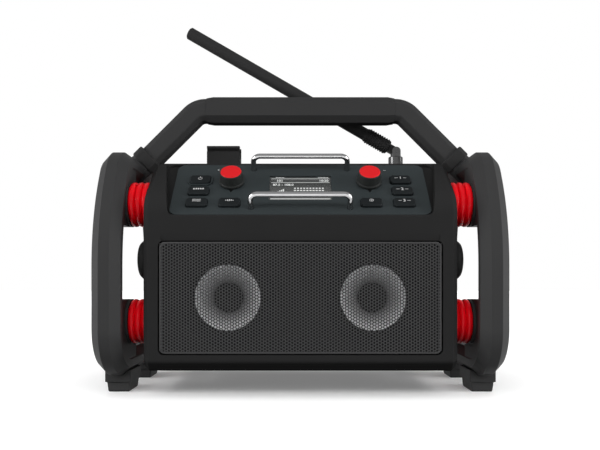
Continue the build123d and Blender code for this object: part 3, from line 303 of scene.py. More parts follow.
@lru_cache(maxsize=None)
def edge_highlight_mask() -> bpy.types.NodeTree:
    """Build the painted edge highlight: the mesh's edge mask broken up by noise into patches.

    Returns:
        The shared node group, with output Mask.
    """
    sheet = GroupSheet("edge_highlight_mask", "ShaderNodeTree")
    place = sheet.takes("Vector", "Vector")
    edge = sheet.takes("Edge", "Float", 0.0)
    amount = sheet.takes("Amount", "Float", 0.5)
    patches = sheet.noise(place, sheet.takes("Scale", "Float", 60.0), 5.0)
    # painted highlight along the rounded edges, in patches
    highlit_edges = sheet.math("MULTIPLY", edge, sheet.ramp(patches, 0.35, 0.7, 0.25, 1.0, smooth=True))
    sheet.gives("Mask", "Float", sheet.math("MULTIPLY", highlit_edges, amount, use_clamp=True))
    return sheet.tree


# ---------------------------------------------------------------- finishes
class MaterialSheet(NodeSheet):
    """A material under construction, with its shader."""

    def __init__(self, name: str) -> None:
        """Start a material with a bare shader.

        Args:
            name: the material's name.
        """
        self.material = bpy.data.materials.new(name)
        self.material.use_nodes = True
        super().__init__(self.material.node_tree)
        self.shader = self.tree.nodes["Principled BSDF"]
        self.place = self.add("ShaderNodeTexCoord").outputs["Object"]

    def effect(self, tree: bpy.types.NodeTree, **values: Feed) -> bpy.types.Node:
        """Place a shared effect.

        Args:
            tree: the effect's node group.
            values: its inputs by name, with _ for a space.

        Returns:
            The group's node, reading object coordinates.
        """
        node = self.add("ShaderNodeGroup", node_tree=tree)
        self.feed(node.inputs["Vector"], self.place)
        for key, value in values.items():
            self.feed(node.inputs[key.replace("_", " ")], value)
        return node

    def tint(
        self, factor: bpy.types.NodeSocket, low: Union[Colour, bpy.types.NodeSocket],
        high: Union[Colour, bpy.types.NodeSocket],
    ) -> bpy.types.NodeSocket:
        """Mix two colours.

        Args:
            factor: what drives the mix.
            low: the colour at 0.
            high: the colour at 1.

        Returns:
            The mixed colour's socket.
        """
        feeds = {"Factor": factor}
        for key, colour in (("A", low), ("B", high)):
            feeds[key] = (*colour, 1.0) if isinstance(colour, tuple) else colour
        return self.add("ShaderNodeMix", feeds, data_type="RGBA").outputs["Result"]

    def times(self, colour: Feed, tone: bpy.types.NodeSocket) -> bpy.types.NodeSocket:
        """Multiply a colour by a number that drifts round 1."""
        feeds = {0: colour, "Scale": tone}
        return self.add("ShaderNodeVectorMath", feeds, operation="SCALE").outputs["Vector"]

    def relief(self, height: bpy.types.NodeSocket, distance: float, strength: float = 1.0) -> None:
        """Drive the shader's normal by a height.

        Args:
            height: the height's socket, 0 to 1.
            distance: the depth of the relief.
            strength: how much of it shows.
        """
        bump = self.add("ShaderNodeBump", {"Distance": distance, "Strength": strength, "Height": height})
        self.feed(self.shader.inputs["Normal"], bump.outputs["Normal"])

    def coated(self, feeds: Dict[str, Feed]) -> bpy.types.Material:
        """Feed the shader.

        Args:
            feeds: what goes into its inputs, by name.

        Returns:
            The material.
        """
        for key, source in feeds.items():
            self.feed(self.shader.inputs[key], source)
        return self.material


@dataclass(frozen=True)
class MouldedPlastic:
    """Moulded plastic or rubber with a fine grain, and another tone painted along its rounded edges in
    patches, as a painted highlight.
    """

    name: str
    colour: Colour
    roughness: float = 0.5
    grain_scale: float = 1500.0
    grain_depth: float = 0.03 * MM
    drift: float = 0.12
    # colour of the painted highlight along rounded edges, and how much of it shows
    edge: Colour = (0.05, 0.05, 0.051)
    edge_highlight: float = 0.3
    specular: float = 0.1
    coat: float = 0.0
    coat_roughness: float = 0.12

    def build(self) -> bpy.types.Material:
        """Make the material.

        Returns:
            The material.
        """
        sheet = MaterialSheet(self.name)
        grain = sheet.effect(moulded_grain(), Grain_Scale=self.grain_scale, Drift=self.drift)
        edge = sheet.add("ShaderNodeAttribute", attribute_name=EDGE_MASK, attribute_type="GEOMETRY")
        # painted highlight: the rounded edges take the edge colour, in patches
        edge_highlight = sheet.effect(edge_highlight_mask(), Amount=self.edge_highlight, Edge=edge.outputs["Fac"])
        colour = sheet.tint(edge_highlight.outputs["Mask"], self.colour, self.edge)
        tone = grain.outputs["Tone"]
        sheet.relief(grain.outputs["Height"], self.grain_depth)
        return sheet.coated({
            "Base Color": sheet.times(colour, tone),
            "Roughness": sheet.math("MULTIPLY", tone, self.roughness, use_clamp=True),
            "Specular IOR Level": self.specular,
            "Coat Weight": self.coat,
            "Coat Roughness": self.coat_roughness,
        })


@dataclass(frozen=True)
class Metal:
    """Plated or turned metal, with fine marks in its gloss and, if plated, painted shade towards its edges
    where they turn from the view, standing in for dark surroundings in its reflection.
    """

    name: str
    colour: Colour
    # darker colour painted where the surface turns from the view: a painted reflection of dark surroundings
    rim: Optional[Colour] = None
    roughness: float = 0.1
    marks: float = 0.08
    mark_scale: float = 220.0
    depth: float = 0.004 * MM
    painted_rim_span: Spot = (0.25, 0.7)
    gloss_span: Spot = (0.7, 1.4)

    def build(self) -> bpy.types.Material:
        """Make the material.

        Returns:
            The material.
        """
        sheet = MaterialSheet(self.name)
        grain = sheet.effect(moulded_grain(), Grain_Scale=self.mark_scale, Drift=self.marks)
        # painted shade: the base colour darkens where the surface turns away from the view
        turn = sheet.ramp(sheet.add("ShaderNodeLayerWeight").outputs["Facing"], *self.painted_rim_span)
        base = sheet.tint(turn, self.colour, self.rim or self.colour)
        height = grain.outputs["Height"]
        smooth, dull = (self.roughness * share for share in self.gloss_span)
        sheet.relief(height, self.depth)
        return sheet.coated({
            "Base Color": sheet.times(base, grain.outputs["Tone"]),
            "Roughness": sheet.ramp(height, 0.0, 1.0, smooth, dull),
            "Metallic": 1.0,
        })


@dataclass(frozen=True)
class SpeakerPaper:
    """Pressed paper cone, dark dust cap and rubber surround, told apart by the radius, with painted shade
    darkening the paper towards the throat.
    """

    name: str
    paper: Colour = (0.92, 0.92, 0.93)
    # painted shade deep in the cone, where the paper meets the cap
    painted_throat_shade: Colour = (0.10, 0.10, 0.10)
    rubber: Colour = (0.006, 0.006, 0.006)
    centre_x: float = 74.5 * MM
    centre_z: float = 103.3 * MM
    cap_radius: float = 15.5 * MM
    paper_radius: float = 33.6 * MM
    bright_share: float = 0.92
    blend: float = 0.5 * MM
    ripple: float = 900.0
    ripple_depth: float = 0.1 * MM
    ripple_strength: float = 0.6

    def build(self) -> bpy.types.Material:
        """Make the material.

        Returns:
            The material.
        """
        sheet = MaterialSheet(self.name)
        grain = sheet.effect(moulded_grain(), Grain_Scale=500.0, Drift=0.08, Drift_Scale=60.0)
        parts = sheet.add("ShaderNodeSeparateXYZ", {0: sheet.place}).outputs
        across = sheet.math("SUBTRACT", sheet.math("ABSOLUTE", parts["X"]), self.centre_x)
        upward = sheet.math("SUBTRACT", parts["Z"], self.centre_z)
        radius = sheet.vector_math("LENGTH", sheet.vector(X=across, Y=upward)).outputs["Value"]
        cap, edge, blend = self.cap_radius, self.paper_radius, self.blend
        outside_cap = sheet.ramp(radius, cap - blend, cap + blend, smooth=True)
        inside_edge = sheet.ramp(radius, edge - blend, edge + blend, 1.0, 0.0, smooth=True)
        # painted shade: the paper darkens from its outer part in towards the cap
        out_of_throat_shade = sheet.ramp(radius, cap, edge * self.bright_share)
        paper = sheet.tint(out_of_throat_shade, self.painted_throat_shade, self.paper)
        colour = sheet.tint(sheet.math("MULTIPLY", outside_cap, inside_edge), self.rubber, paper)
        wave = sheet.math("SINE", sheet.math("MULTIPLY", radius, self.ripple * 2 * math.pi))
        sheet.relief(wave, self.ripple_depth, self.ripple_strength)
        return sheet.coated({
            "Base Color": sheet.times(colour, grain.outputs["Tone"]),
            "Roughness": 0.7,
            "Specular IOR Level": 0.15,
        })


@dataclass(frozen=True)
class ScreenGlow:
    """Face of the display: grey, brighter towards its foot, with a faint row structure, glowing as painted
    light in place of the light that the window over it keeps off.
    """

    name: str
    top: Colour = (0.040, 0.042, 0.042)
    foot: Colour = (0.105, 0.104, 0.101)
    top_z: float = 236.0 * MM
    foot_z: float = 204.0 * MM
    row: float = 0.6 * MM
    row_share: float = 0.05
    painted_glow: float = 0.9

    def build(self) -> bpy.types.Material:
        """Make the material.

        Returns:
            The material.
        """
        sheet = MaterialSheet(self.name)
        height = sheet.add("ShaderNodeSeparateXYZ", {0: sheet.place}).outputs["Z"]
        # painted light: the face glows, brighter towards its foot
        colour = sheet.tint(sheet.ramp(height, self.foot_z, self.top_z), self.foot, self.top)
        wave = sheet.math("SINE", sheet.math("MULTIPLY", height, 2 * math.pi / self.row))
        tone = sheet.math("MULTIPLY_ADD", wave, self.row_share, 1.0)
        return sheet.coated({
            "Emission Color": sheet.times(colour, tone),
            "Emission Strength": self.painted_glow,
            "Base Color": (0.01, 0.01, 0.01, 1.0),
            "Roughness": 0.35,
            "Specular IOR Level": 0.0,
        })


@dataclass(frozen=True)
class LitInk:
    """What a display shows: pale strokes that glow evenly, as painted light in place of the light that the
    window over them keeps off.
    """

    name: str
    colour: Colour = (0.80, 0.80, 0.79)
    painted_glow: float = 1.1

    def build(self) -> bpy.types.Material:
        """Make the material.

        Returns:
            The material.
        """
        sheet = MaterialSheet(self.name)
        grain = sheet.effect(moulded_grain(), Grain_Scale=700.0, Drift=0.08)
        return sheet.coated({
            "Emission Color": sheet.times(self.colour, grain.outputs["Tone"]),
            "Emission Strength": self.painted_glow,
            "Base Color": (0.02, 0.02, 0.02, 1.0),
            "Specular IOR Level": 0.0,
        })


@dataclass(frozen=True)
class ClearWindow:
    """Clear moulded window with a hint of smoke that drifts a little."""

    name: str
    colour: Colour = (0.86, 0.88, 0.88)
    roughness: float = 0.03
    ior: float = 1.2

    def build(self) -> bpy.types.Material:
        """Make the material.

        Returns:
            The material.
        """
        sheet = MaterialSheet(self.name)
        grain = sheet.effect(moulded_grain(), Grain_Scale=900.0, Drift=0.05)
        return sheet.coated({
            "Base Color": sheet.times(self.colour, grain.outputs["Tone"]),
            "Roughness": self.roughness,
            "Transmission Weight": 1.0,
            "IOR": self.ior,
            "Specular IOR Level": 0.1,
        })


@dataclass(frozen=True)
class CircuitBoard:
    """Green solder mask over copper tracks."""

    name: str
    mask: Colour = (0.006, 0.075, 0.03)
    track: Colour = (0.02, 0.16, 0.06)
    scale: float = 260.0
    track_width: float = 0.035
    track_height: float = 0.03 * MM

    def build(self) -> bpy.types.Material:
        """Make the material.

        Returns:
            The material.
        """
        sheet = MaterialSheet(self.name)
        mask, track = (*self.mask, 1.0), (*self.track, 1.0)
        tracks = sheet.add("ShaderNodeTexBrick", {
            "Vector": sheet.place, "Scale": self.scale, "Mortar Size": self.track_width,
            "Color1": mask, "Color2": mask, "Mortar": track,
        })
        sheet.relief(tracks.outputs["Fac"], self.track_height)
        return sheet.coated({"Base Color": tracks.outputs["Color"], "Roughness": 0.3})


class Finish(Enum):
    """Every finish on the radio."""

    # each finish's edge colour is a painted highlight along its rounded edges
    HOUSING = MouldedPlastic("housing_black", (0.0235, 0.0235, 0.0237), 0.6, specular=0.0)
    PANEL = MouldedPlastic("panel_slate", (0.0285, 0.035, 0.037), 0.5, edge=(0.05, 0.06, 0.065))
    FRAME = MouldedPlastic("frame_charcoal", (0.0365, 0.0365, 0.037), 0.5, specular=0.08)
    HANDLE = MouldedPlastic("handle_charcoal", (0.040, 0.040, 0.0405), 0.6, specular=0.0)
    GRIP = MouldedPlastic("grip_rubber", (0.038, 0.038, 0.0385), 0.65, grain_scale=900.0, specular=0.0)
    # near-black painted shade, for the clip that shows in the groove of the rest
    RECESS_SHADE = MouldedPlastic("painted_recess_shade", (0.006, 0.006, 0.006), 0.6, edge_highlight=0.0)
    SLEEVE = MouldedPlastic(
        "sleeve_rubber", (0.027, 0.027, 0.0272), 0.5, edge=(0.045, 0.045, 0.045), specular=0.03
    )
    FOOT = MouldedPlastic("foot_rubber", (0.045, 0.045, 0.0453), 0.6)
    CLIP = MouldedPlastic(
        "rest_rubber", (0.029, 0.029, 0.0293), 0.6, edge=(0.04, 0.04, 0.04), specular=0.0
    )
    RUBBER = MouldedPlastic(
        "black_rubber", (0.020, 0.020, 0.020), 0.6, edge=(0.04, 0.04, 0.04), specular=0.03
    )
    BELLOWS = MouldedPlastic(
        "bellows_red", (0.84, 0.002, 0.009), 0.4, grain_depth=0.004 * MM, edge=(0.6, 0.006, 0.01),
        drift=0.1, specular=0.1, coat=0.25,
    )
    KNOB = MouldedPlastic("knob_black", (0.019, 0.0205, 0.020), 0.5)
    CAP = MouldedPlastic(
        "cap_red", (0.63, 0.012, 0.016), 0.45, edge=(0.8, 0.05, 0.05), drift=0.05,
        grain_depth=0.004 * MM,
    )
    KEY = MouldedPlastic("key_slate", (0.009, 0.011, 0.012), 0.5, edge=(0.03, 0.035, 0.038))
    MARK = MouldedPlastic("legend_white", (0.50, 0.50, 0.50), 0.5, drift=0.03, edge_highlight=0.0)
    # LIT and SCREEN glow as painted light
    LIT = LitInk("display_strokes")
    POINTER = MouldedPlastic("pointer_black", (0.005, 0.005, 0.005), 0.5, edge_highlight=0.0)
    GRILLE = MouldedPlastic("grille_black", (0.058, 0.058, 0.059), 0.42, edge_highlight=0.2)
    CONE = SpeakerPaper("speaker_paper")
    BASKET = MouldedPlastic("basket_black", (0.010, 0.010, 0.011), 0.5)
    BOARD = CircuitBoard("solder_mask")
    SCREEN = ScreenGlow("screen_grey")
    WINDOW = ClearWindow("display_window")
    # the second colour of each chrome is painted shade at the edges that turn from the view
    CHROME = Metal("polished_chrome", (0.46, 0.46, 0.465), (0.28, 0.28, 0.285), 0.06)
    DARK_CHROME = Metal("smoked_chrome", (0.12, 0.12, 0.121), (0.03, 0.03, 0.031), 0.28)
    STEEL = Metal("plain_steel", (0.42, 0.42, 0.43), roughness=0.3)
    DARK_STEEL = Metal("dark_steel", (0.12, 0.12, 0.125), roughness=0.4)
    BRASS = Metal("turned_brass", (0.62, 0.46, 0.24), roughness=0.28)
    IRON = Metal("ferrite_grey", (0.10, 0.10, 0.105), roughness=0.5)

    def material(self) -> bpy.types.Material:
        """Give the finish's material, built the first time it is asked for."""
        return bpy.data.materials.get(self.value.name) or self.value.build()


# ---------------------------------------------------------------- shaping
def baked(holder: bpy.types.Object) -> bpy.types.Mesh:
    """Turn a scratch object and its modifiers into plain mesh.

    Args:
        holder: the object, not yet in the scene, removed here.

    Returns:
        The mesh.
    """
    bpy.context.scene.collection.objects.link(holder)
    graph = bpy.context.evaluated_depsgraph_get()
    mesh = bpy.data.meshes.new_from_object(holder.evaluated_get(graph))
    bpy.data.objects.remove(holder)
    return mesh


def creased(mesh: bpy.types.Mesh, angle: float = CREASE) -> bpy.types.Mesh:
    """Shade a mesh smooth, but for its sharp edges.

    Args:
        mesh: the mesh, shaded in place.
        angle: edges sharper than this many degrees stay sharp.

    Returns:
        The same mesh.
    """
    mesh.shade_smooth()
    mesh.set_sharp_from_angle(angle=math.radians(angle))
    return mesh


def finished(
    mesh: bpy.types.Mesh, name: str, finish: Finish, body: Body,
    node: Optional[str] = None,
) -> None:
    """Put a mesh in the scene as a piece that rides on a body.

    Args:
        mesh: the mesh, with its place in its vertices.
        name: the piece's name.
        finish: the piece's finish.
        body: the body it moves with.
        node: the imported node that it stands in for, if any.
    """
    piece = bpy.data.objects.new(name, mesh)
    bpy.context.scene.collection.objects.link(piece)
    mesh.materials.clear()
    mesh.materials.append(finish.material())
    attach(piece, body.value)
    if node:
        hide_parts(node)
    LOG.info("%s: %d faces", name, len(mesh.polygons))


def softened(
    node: str, finish: Finish, bevel: float = 0.5 * MM, steps: int = 2,
) -> None:
    """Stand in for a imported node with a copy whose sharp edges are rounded.

    The copy has a face attribute that is 1 on the roundings.

    Args:
        node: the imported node.
        finish: the copy's finish.
        bevel: the width of the rounding.
        steps: facets across the rounding.
    """
    source = FRAME["nodes"][node]
    work = bmesh.new()
    work.from_mesh(source.data)
    bmesh.ops.remove_doubles(work, verts=work.verts, dist=WELD)
    bmesh.ops.dissolve_limit(
        work, angle_limit=math.radians(FLAT), verts=work.verts, edges=work.edges, delimit=set()
    )
    edge_mask = work.faces.layers.float.new(EDGE_MASK)
    sharp = [
        edge for edge in work.edges
        if len(edge.link_faces) == 2 and edge.calc_face_angle(0.0) > math.radians(SHARP)
    ]
    made = bmesh.ops.bevel(
        work, geom=sharp, offset=bevel, offset_type="OFFSET", segments=steps, profile=0.5,
        affect="EDGES", clamp_overlap=True, loop_slide=True, material=-1,
    )
    for face in made["faces"]:
        face[edge_mask] = 1.0
    mesh = bpy.data.meshes.new(f"{node}_shape")
    work.to_mesh(mesh)
    work.free()
    holder = bpy.data.objects.new(f"{node}_holder", creased(mesh))
    holder.modifiers.new("normals", "WEIGHTED_NORMAL").keep_sharp = True
    finished(baked(holder), f"{node}_skin", finish, Body(source["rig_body"]), node)


def dressed(node: str, finish: Finish) -> None:
    """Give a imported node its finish.

    Args:
        node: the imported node.
        finish: its finish.
    """
    owner = FRAME["nodes"][node]
    if not owner.material_slots:
        owner.data.materials.append(None)
    for place in owner.material_slots:
        place.material = finish.material()
    LOG.info("%s: dressed", node)


def meshed(work: bmesh.types.BMesh, name: str, crease: float = CREASE) -> bpy.types.Mesh:
    """Close a mesh under construction, with its faces outward and its shading set.

    Args:
        work: the mesh under construction, freed here.
        name: the mesh's name.
        crease: edges sharper than this many degrees stay sharp.

    Returns:
        The mesh.
    """
    bmesh.ops.remove_doubles(work, verts=work.verts, dist=SEAM)
    bmesh.ops.recalc_face_normals(work, faces=work.faces)
    mesh = bpy.data.meshes.new(name)
    work.to_mesh(mesh)
    work.free()
    return creased(mesh, crease)


def looped(
    work: bmesh.types.BMesh, rings: Iterable[Sequence[Point]], closed: bool, capped: bool,
) -> None:
    """Skin a run of rings that have the same number of points.

    Args:
        work: the mesh under construction.
        rings: the rings' points.
        closed: whether the last ring joins the first.
        capped: whether the first and last rings are filled.
    """
    rows = [[work.verts.new(point) for point in ring] for ring in rings]
    pairs = list(zip(rows, rows[1:]))
    if closed:
        pairs.append((rows[-1], rows[0]))
    for low, high in pairs:
        count = len(low)
        for place in range(count):
            after = (place + 1) % count
            work.faces.new((low[place], low[after], high[after], high[place]))
    if capped:
        work.faces.new(rows[0][::-1])
        work.faces.new(rows[-1])


def circle(radius: float, count: int) -> List[Spot]:
    """Give so many points round a circle about the origin."""
    turns = [2 * math.pi * step / count for step in range(count)]
    return [(radius * math.cos(turn), radius * math.sin(turn)) for turn in turns]


# ---------------------------------------------------------------- repeats
class GeometryTree(GroupSheet):
    """A Geometry Nodes tree that sets copies of the mesh it is given on points."""

    def __init__(self, name: str) -> None:
        """Start a tree, with the mesh as its first input.

        Args:
            name: the tree's name.
        """
        super().__init__(name, "GeometryNodeTree")
        self.tree.is_modifier = True
        self.cell = self.takes("Geometry", "Geometry")

    def line(self, count: Feed, offset: Feed, start: Feed = (0.0, 0.0, 0.0)) -> bpy.types.NodeSocket:
        """Give a line of points from a start, each an offset from the last."""
        feeds = {"Count": count, "Start Location": start, "Offset": offset}
        return self.add("GeometryNodeMeshLine", feeds).outputs[0]

    def ended(
        self, points: bpy.types.NodeSocket, turn: Optional[bpy.types.NodeSocket] = None,
        weld: Optional[float] = None,
    ) -> bpy.types.NodeTree:
        """End the tree with real copies in their finish.

        Args:
            points: where the copies stand.
            turn: how each copy is turned, if it is.
            weld: the distance within which neighbours join, if they do.

        Returns:
            The tree.
        """
        feeds = {"Points": points, "Instance": self.cell}
        if turn is not None:
            feeds["Rotation"] = turn
        copies = self.add("GeometryNodeInstanceOnPoints", feeds).outputs[0]
        solid = self.add("GeometryNodeRealizeInstances", {0: copies}).outputs[0]
        if weld is not None:
            feeds = {"Geometry": solid, "Distance": weld}
            solid = self.add("GeometryNodeMergeByDistance", feeds).outputs[0]
        feeds = {"Geometry": solid, "Material": self.takes("Finish", "Material")}
        self.gives("Geometry", "Geometry", self.add("GeometryNodeSetMaterial", feeds).outputs[0])
        return self.tree


def grown(
    cell: bpy.types.Mesh, tree: bpy.types.NodeTree, values: Dict[str, object],
) -> bpy.types.Mesh:
    """Run a Geometry Nodes tree on a mesh.

    Args:
        cell: the mesh it starts from.
        tree: the tree.
        values: what goes into its named inputs.

    Returns:
        The result as one plain mesh.
    """
    holder = bpy.data.objects.new("cell", cell)
    layer = holder.modifiers.new("growth", "NODES")
    layer.node_group = tree
    for item in tree.interface.items_tree:
        if item.item_type == "SOCKET" and item.in_out == "INPUT" and item.name in values:
            layer[item.identifier] = values[item.name]
    return baked(holder)


@lru_cache(maxsize=None)
def lattice_tree() -> bpy.types.NodeTree:
    """Build the lattice, with columns along X and rows along Z.

    Returns:
        The shared tree.
    """
    made = GeometryTree("lattice")
    columns, rows = made.takes("Columns", "Int"), made.takes("Rows", "Int")
    column_pitch, row_pitch = made.takes("Column Pitch", "Float"), made.takes("Row Pitch", "Float")
    stagger, corner = made.takes("Stagger", "Float"), made.takes("Corner", "Float")
    start, reach = made.takes("Start", "Vector"), made.takes("Reach", "Vector")
    odd = made.math("MODULO", made.add("GeometryNodeInputIndex").outputs[0], 2.0)
    lift = made.math("MULTIPLY", made.math("MULTIPLY", odd, stagger), row_pitch)
    feet = made.add("GeometryNodeSetPosition", {
        "Geometry": made.line(columns, made.vector(X=column_pitch), start),
        "Offset": made.vector(Z=lift),
    })
    grid = made.add("GeometryNodeInstanceOnPoints", {
        "Points": feet.outputs[0], "Instance": made.line(rows, made.vector(Z=row_pitch)),
    })
    points = made.add("GeometryNodeRealizeInstances", {0: grid.outputs[0]})
    place = made.add("GeometryNodeInputPosition").outputs[0]
    past = made.vector_math("SUBTRACT", made.vector_math("ABSOLUTE", place).outputs[0], reach)
    beyond = made.vector_math("MAXIMUM", past.outputs[0], (0.0, 0.0, 0.0))
    gap = made.vector_math("LENGTH", beyond.outputs[0]).outputs["Value"]
    outside = made.add(
        "FunctionNodeCompare", {"A": gap, "B": corner}, data_type="FLOAT", operation="GREATER_THAN"
    )
    kept = made.add(
        "GeometryNodeDeleteGeometry",
        {"Geometry": points.outputs[0], "Selection": outside.outputs[0]}, domain="POINT",
    )
    return made.ended(kept.outputs[0], weld=0.01 * MM)


def in_lattice(
    cell: bpy.types.Mesh, finish: Finish, columns: int, rows: int, column_pitch: float,
    row_pitch: float, stagger: float = 0.0, outline: Tuple[float, float, float] = NO_OUTLINE,
) -> bpy.types.Mesh:
    """Repeat a mesh on a lattice whose columns may be staggered.

    Args:
        cell: the mesh to repeat, about the origin.
        finish: the finish of the copies.
        columns: how many columns along X.
        rows: how many copies in a column, along Z.
        column_pitch: from one column to the next.
        row_pitch: from one copy to the next in a column.
        stagger: share of a row's pitch by which every other column is raised.
        outline: half width, half height and corner radius that the copies' middles keep to.

    Returns:
        One plain mesh, centred on the origin.
    """
    width = (columns - 1) * column_pitch
    height = (rows - 1 + stagger) * row_pitch
    half_width, half_height, corner = outline
    return grown(cell, lattice_tree(), {
        "Columns": columns, "Rows": rows, "Column Pitch": column_pitch,
        "Row Pitch": row_pitch, "Stagger": stagger, "Finish": finish.material(),
        "Start": (-width / 2, 0.0, -height / 2),
        "Reach": (half_width - corner, 1.0, half_height - corner), "Corner": corner,
    })


@lru_cache(maxsize=None)
def ring_tree() -> bpy.types.NodeTree:
    """Build rings round the X axis, whose copies' tops face away from it.

    Returns:
        The shared tree.
    """
    made = GeometryTree("rings")
    turns, rows = made.takes("Turns", "Int"), made.takes("Rows", "Int")
    pitch, radius = made.takes("Pitch", "Float"), made.takes("Radius", "Float")
    index = made.add("GeometryNodeInputIndex").outputs[0]
    row = made.math("FLOOR", made.math("DIVIDE", made.math("ADD", index, 0.5), turns))
    half_step = made.math("MULTIPLY", 0.5, made.math("MODULO", row, 2.0))
    step = made.math("ADD", made.math("MODULO", index, turns), half_step)
    angle = made.math("DIVIDE", made.math("MULTIPLY", step, 2 * math.pi), turns)
    side = made.math("MULTIPLY", made.math("MULTIPLY", made.math("SINE", angle), radius), -1.0)
    rise = made.math("MULTIPLY", made.math("COSINE", angle), radius)
    moved = made.add("GeometryNodeSetPosition", {
        "Geometry": made.line(made.math("MULTIPLY", turns, rows), (0.0, 0.0, 0.0)),
        "Position": made.vector(X=made.math("MULTIPLY", row, pitch), Y=side, Z=rise),
    })
    return made.ended(moved.outputs[0], turn=made.vector(X=angle))


def in_rings(
    cell: bpy.types.Mesh, finish: Finish, turns: int, rows: int, pitch: float, radius: float,
) -> bpy.types.Mesh:
    """Repeat a mesh in rings round the X axis, every other ring turned by half a step.

    Args:
        cell: the mesh to repeat, about the origin, with its top along Z.
        finish: the finish of the copies.
        turns: how many copies in a ring.
        rows: how many rings.
        pitch: from one ring to the next.
        radius: from the axis to the copies.

    Returns:
        One plain mesh, with its first ring at the origin.
    """
    return grown(cell, ring_tree(), {
        "Turns": turns, "Rows": rows, "Pitch": pitch, "Radius": radius, "Finish": finish.material(),
    })


# ---------------------------------------------------------------- housing
@dataclass
class Housing:
    """The two housing shells, their screws and the bump stops on their sides."""

    edge: float = 0.6 * MM
    stop_edge: float = 1.6 * MM

    def build(self) -> None:
        """Round the shells' edges and dress the rest."""
        softened("front_housing", Finish.HOUSING, self.edge)
        softened("rear_housing", Finish.HOUSING, self.edge)
        for side in Side:
            softened(f"bump_stop_{side.word}", Finish.RUBBER, self.stop_edge, 3)
        dressed("housing_screws", Finish.STEEL)
        dressed("main_board", Finish.BOARD)
        dressed("power_supply", Finish.IRON)


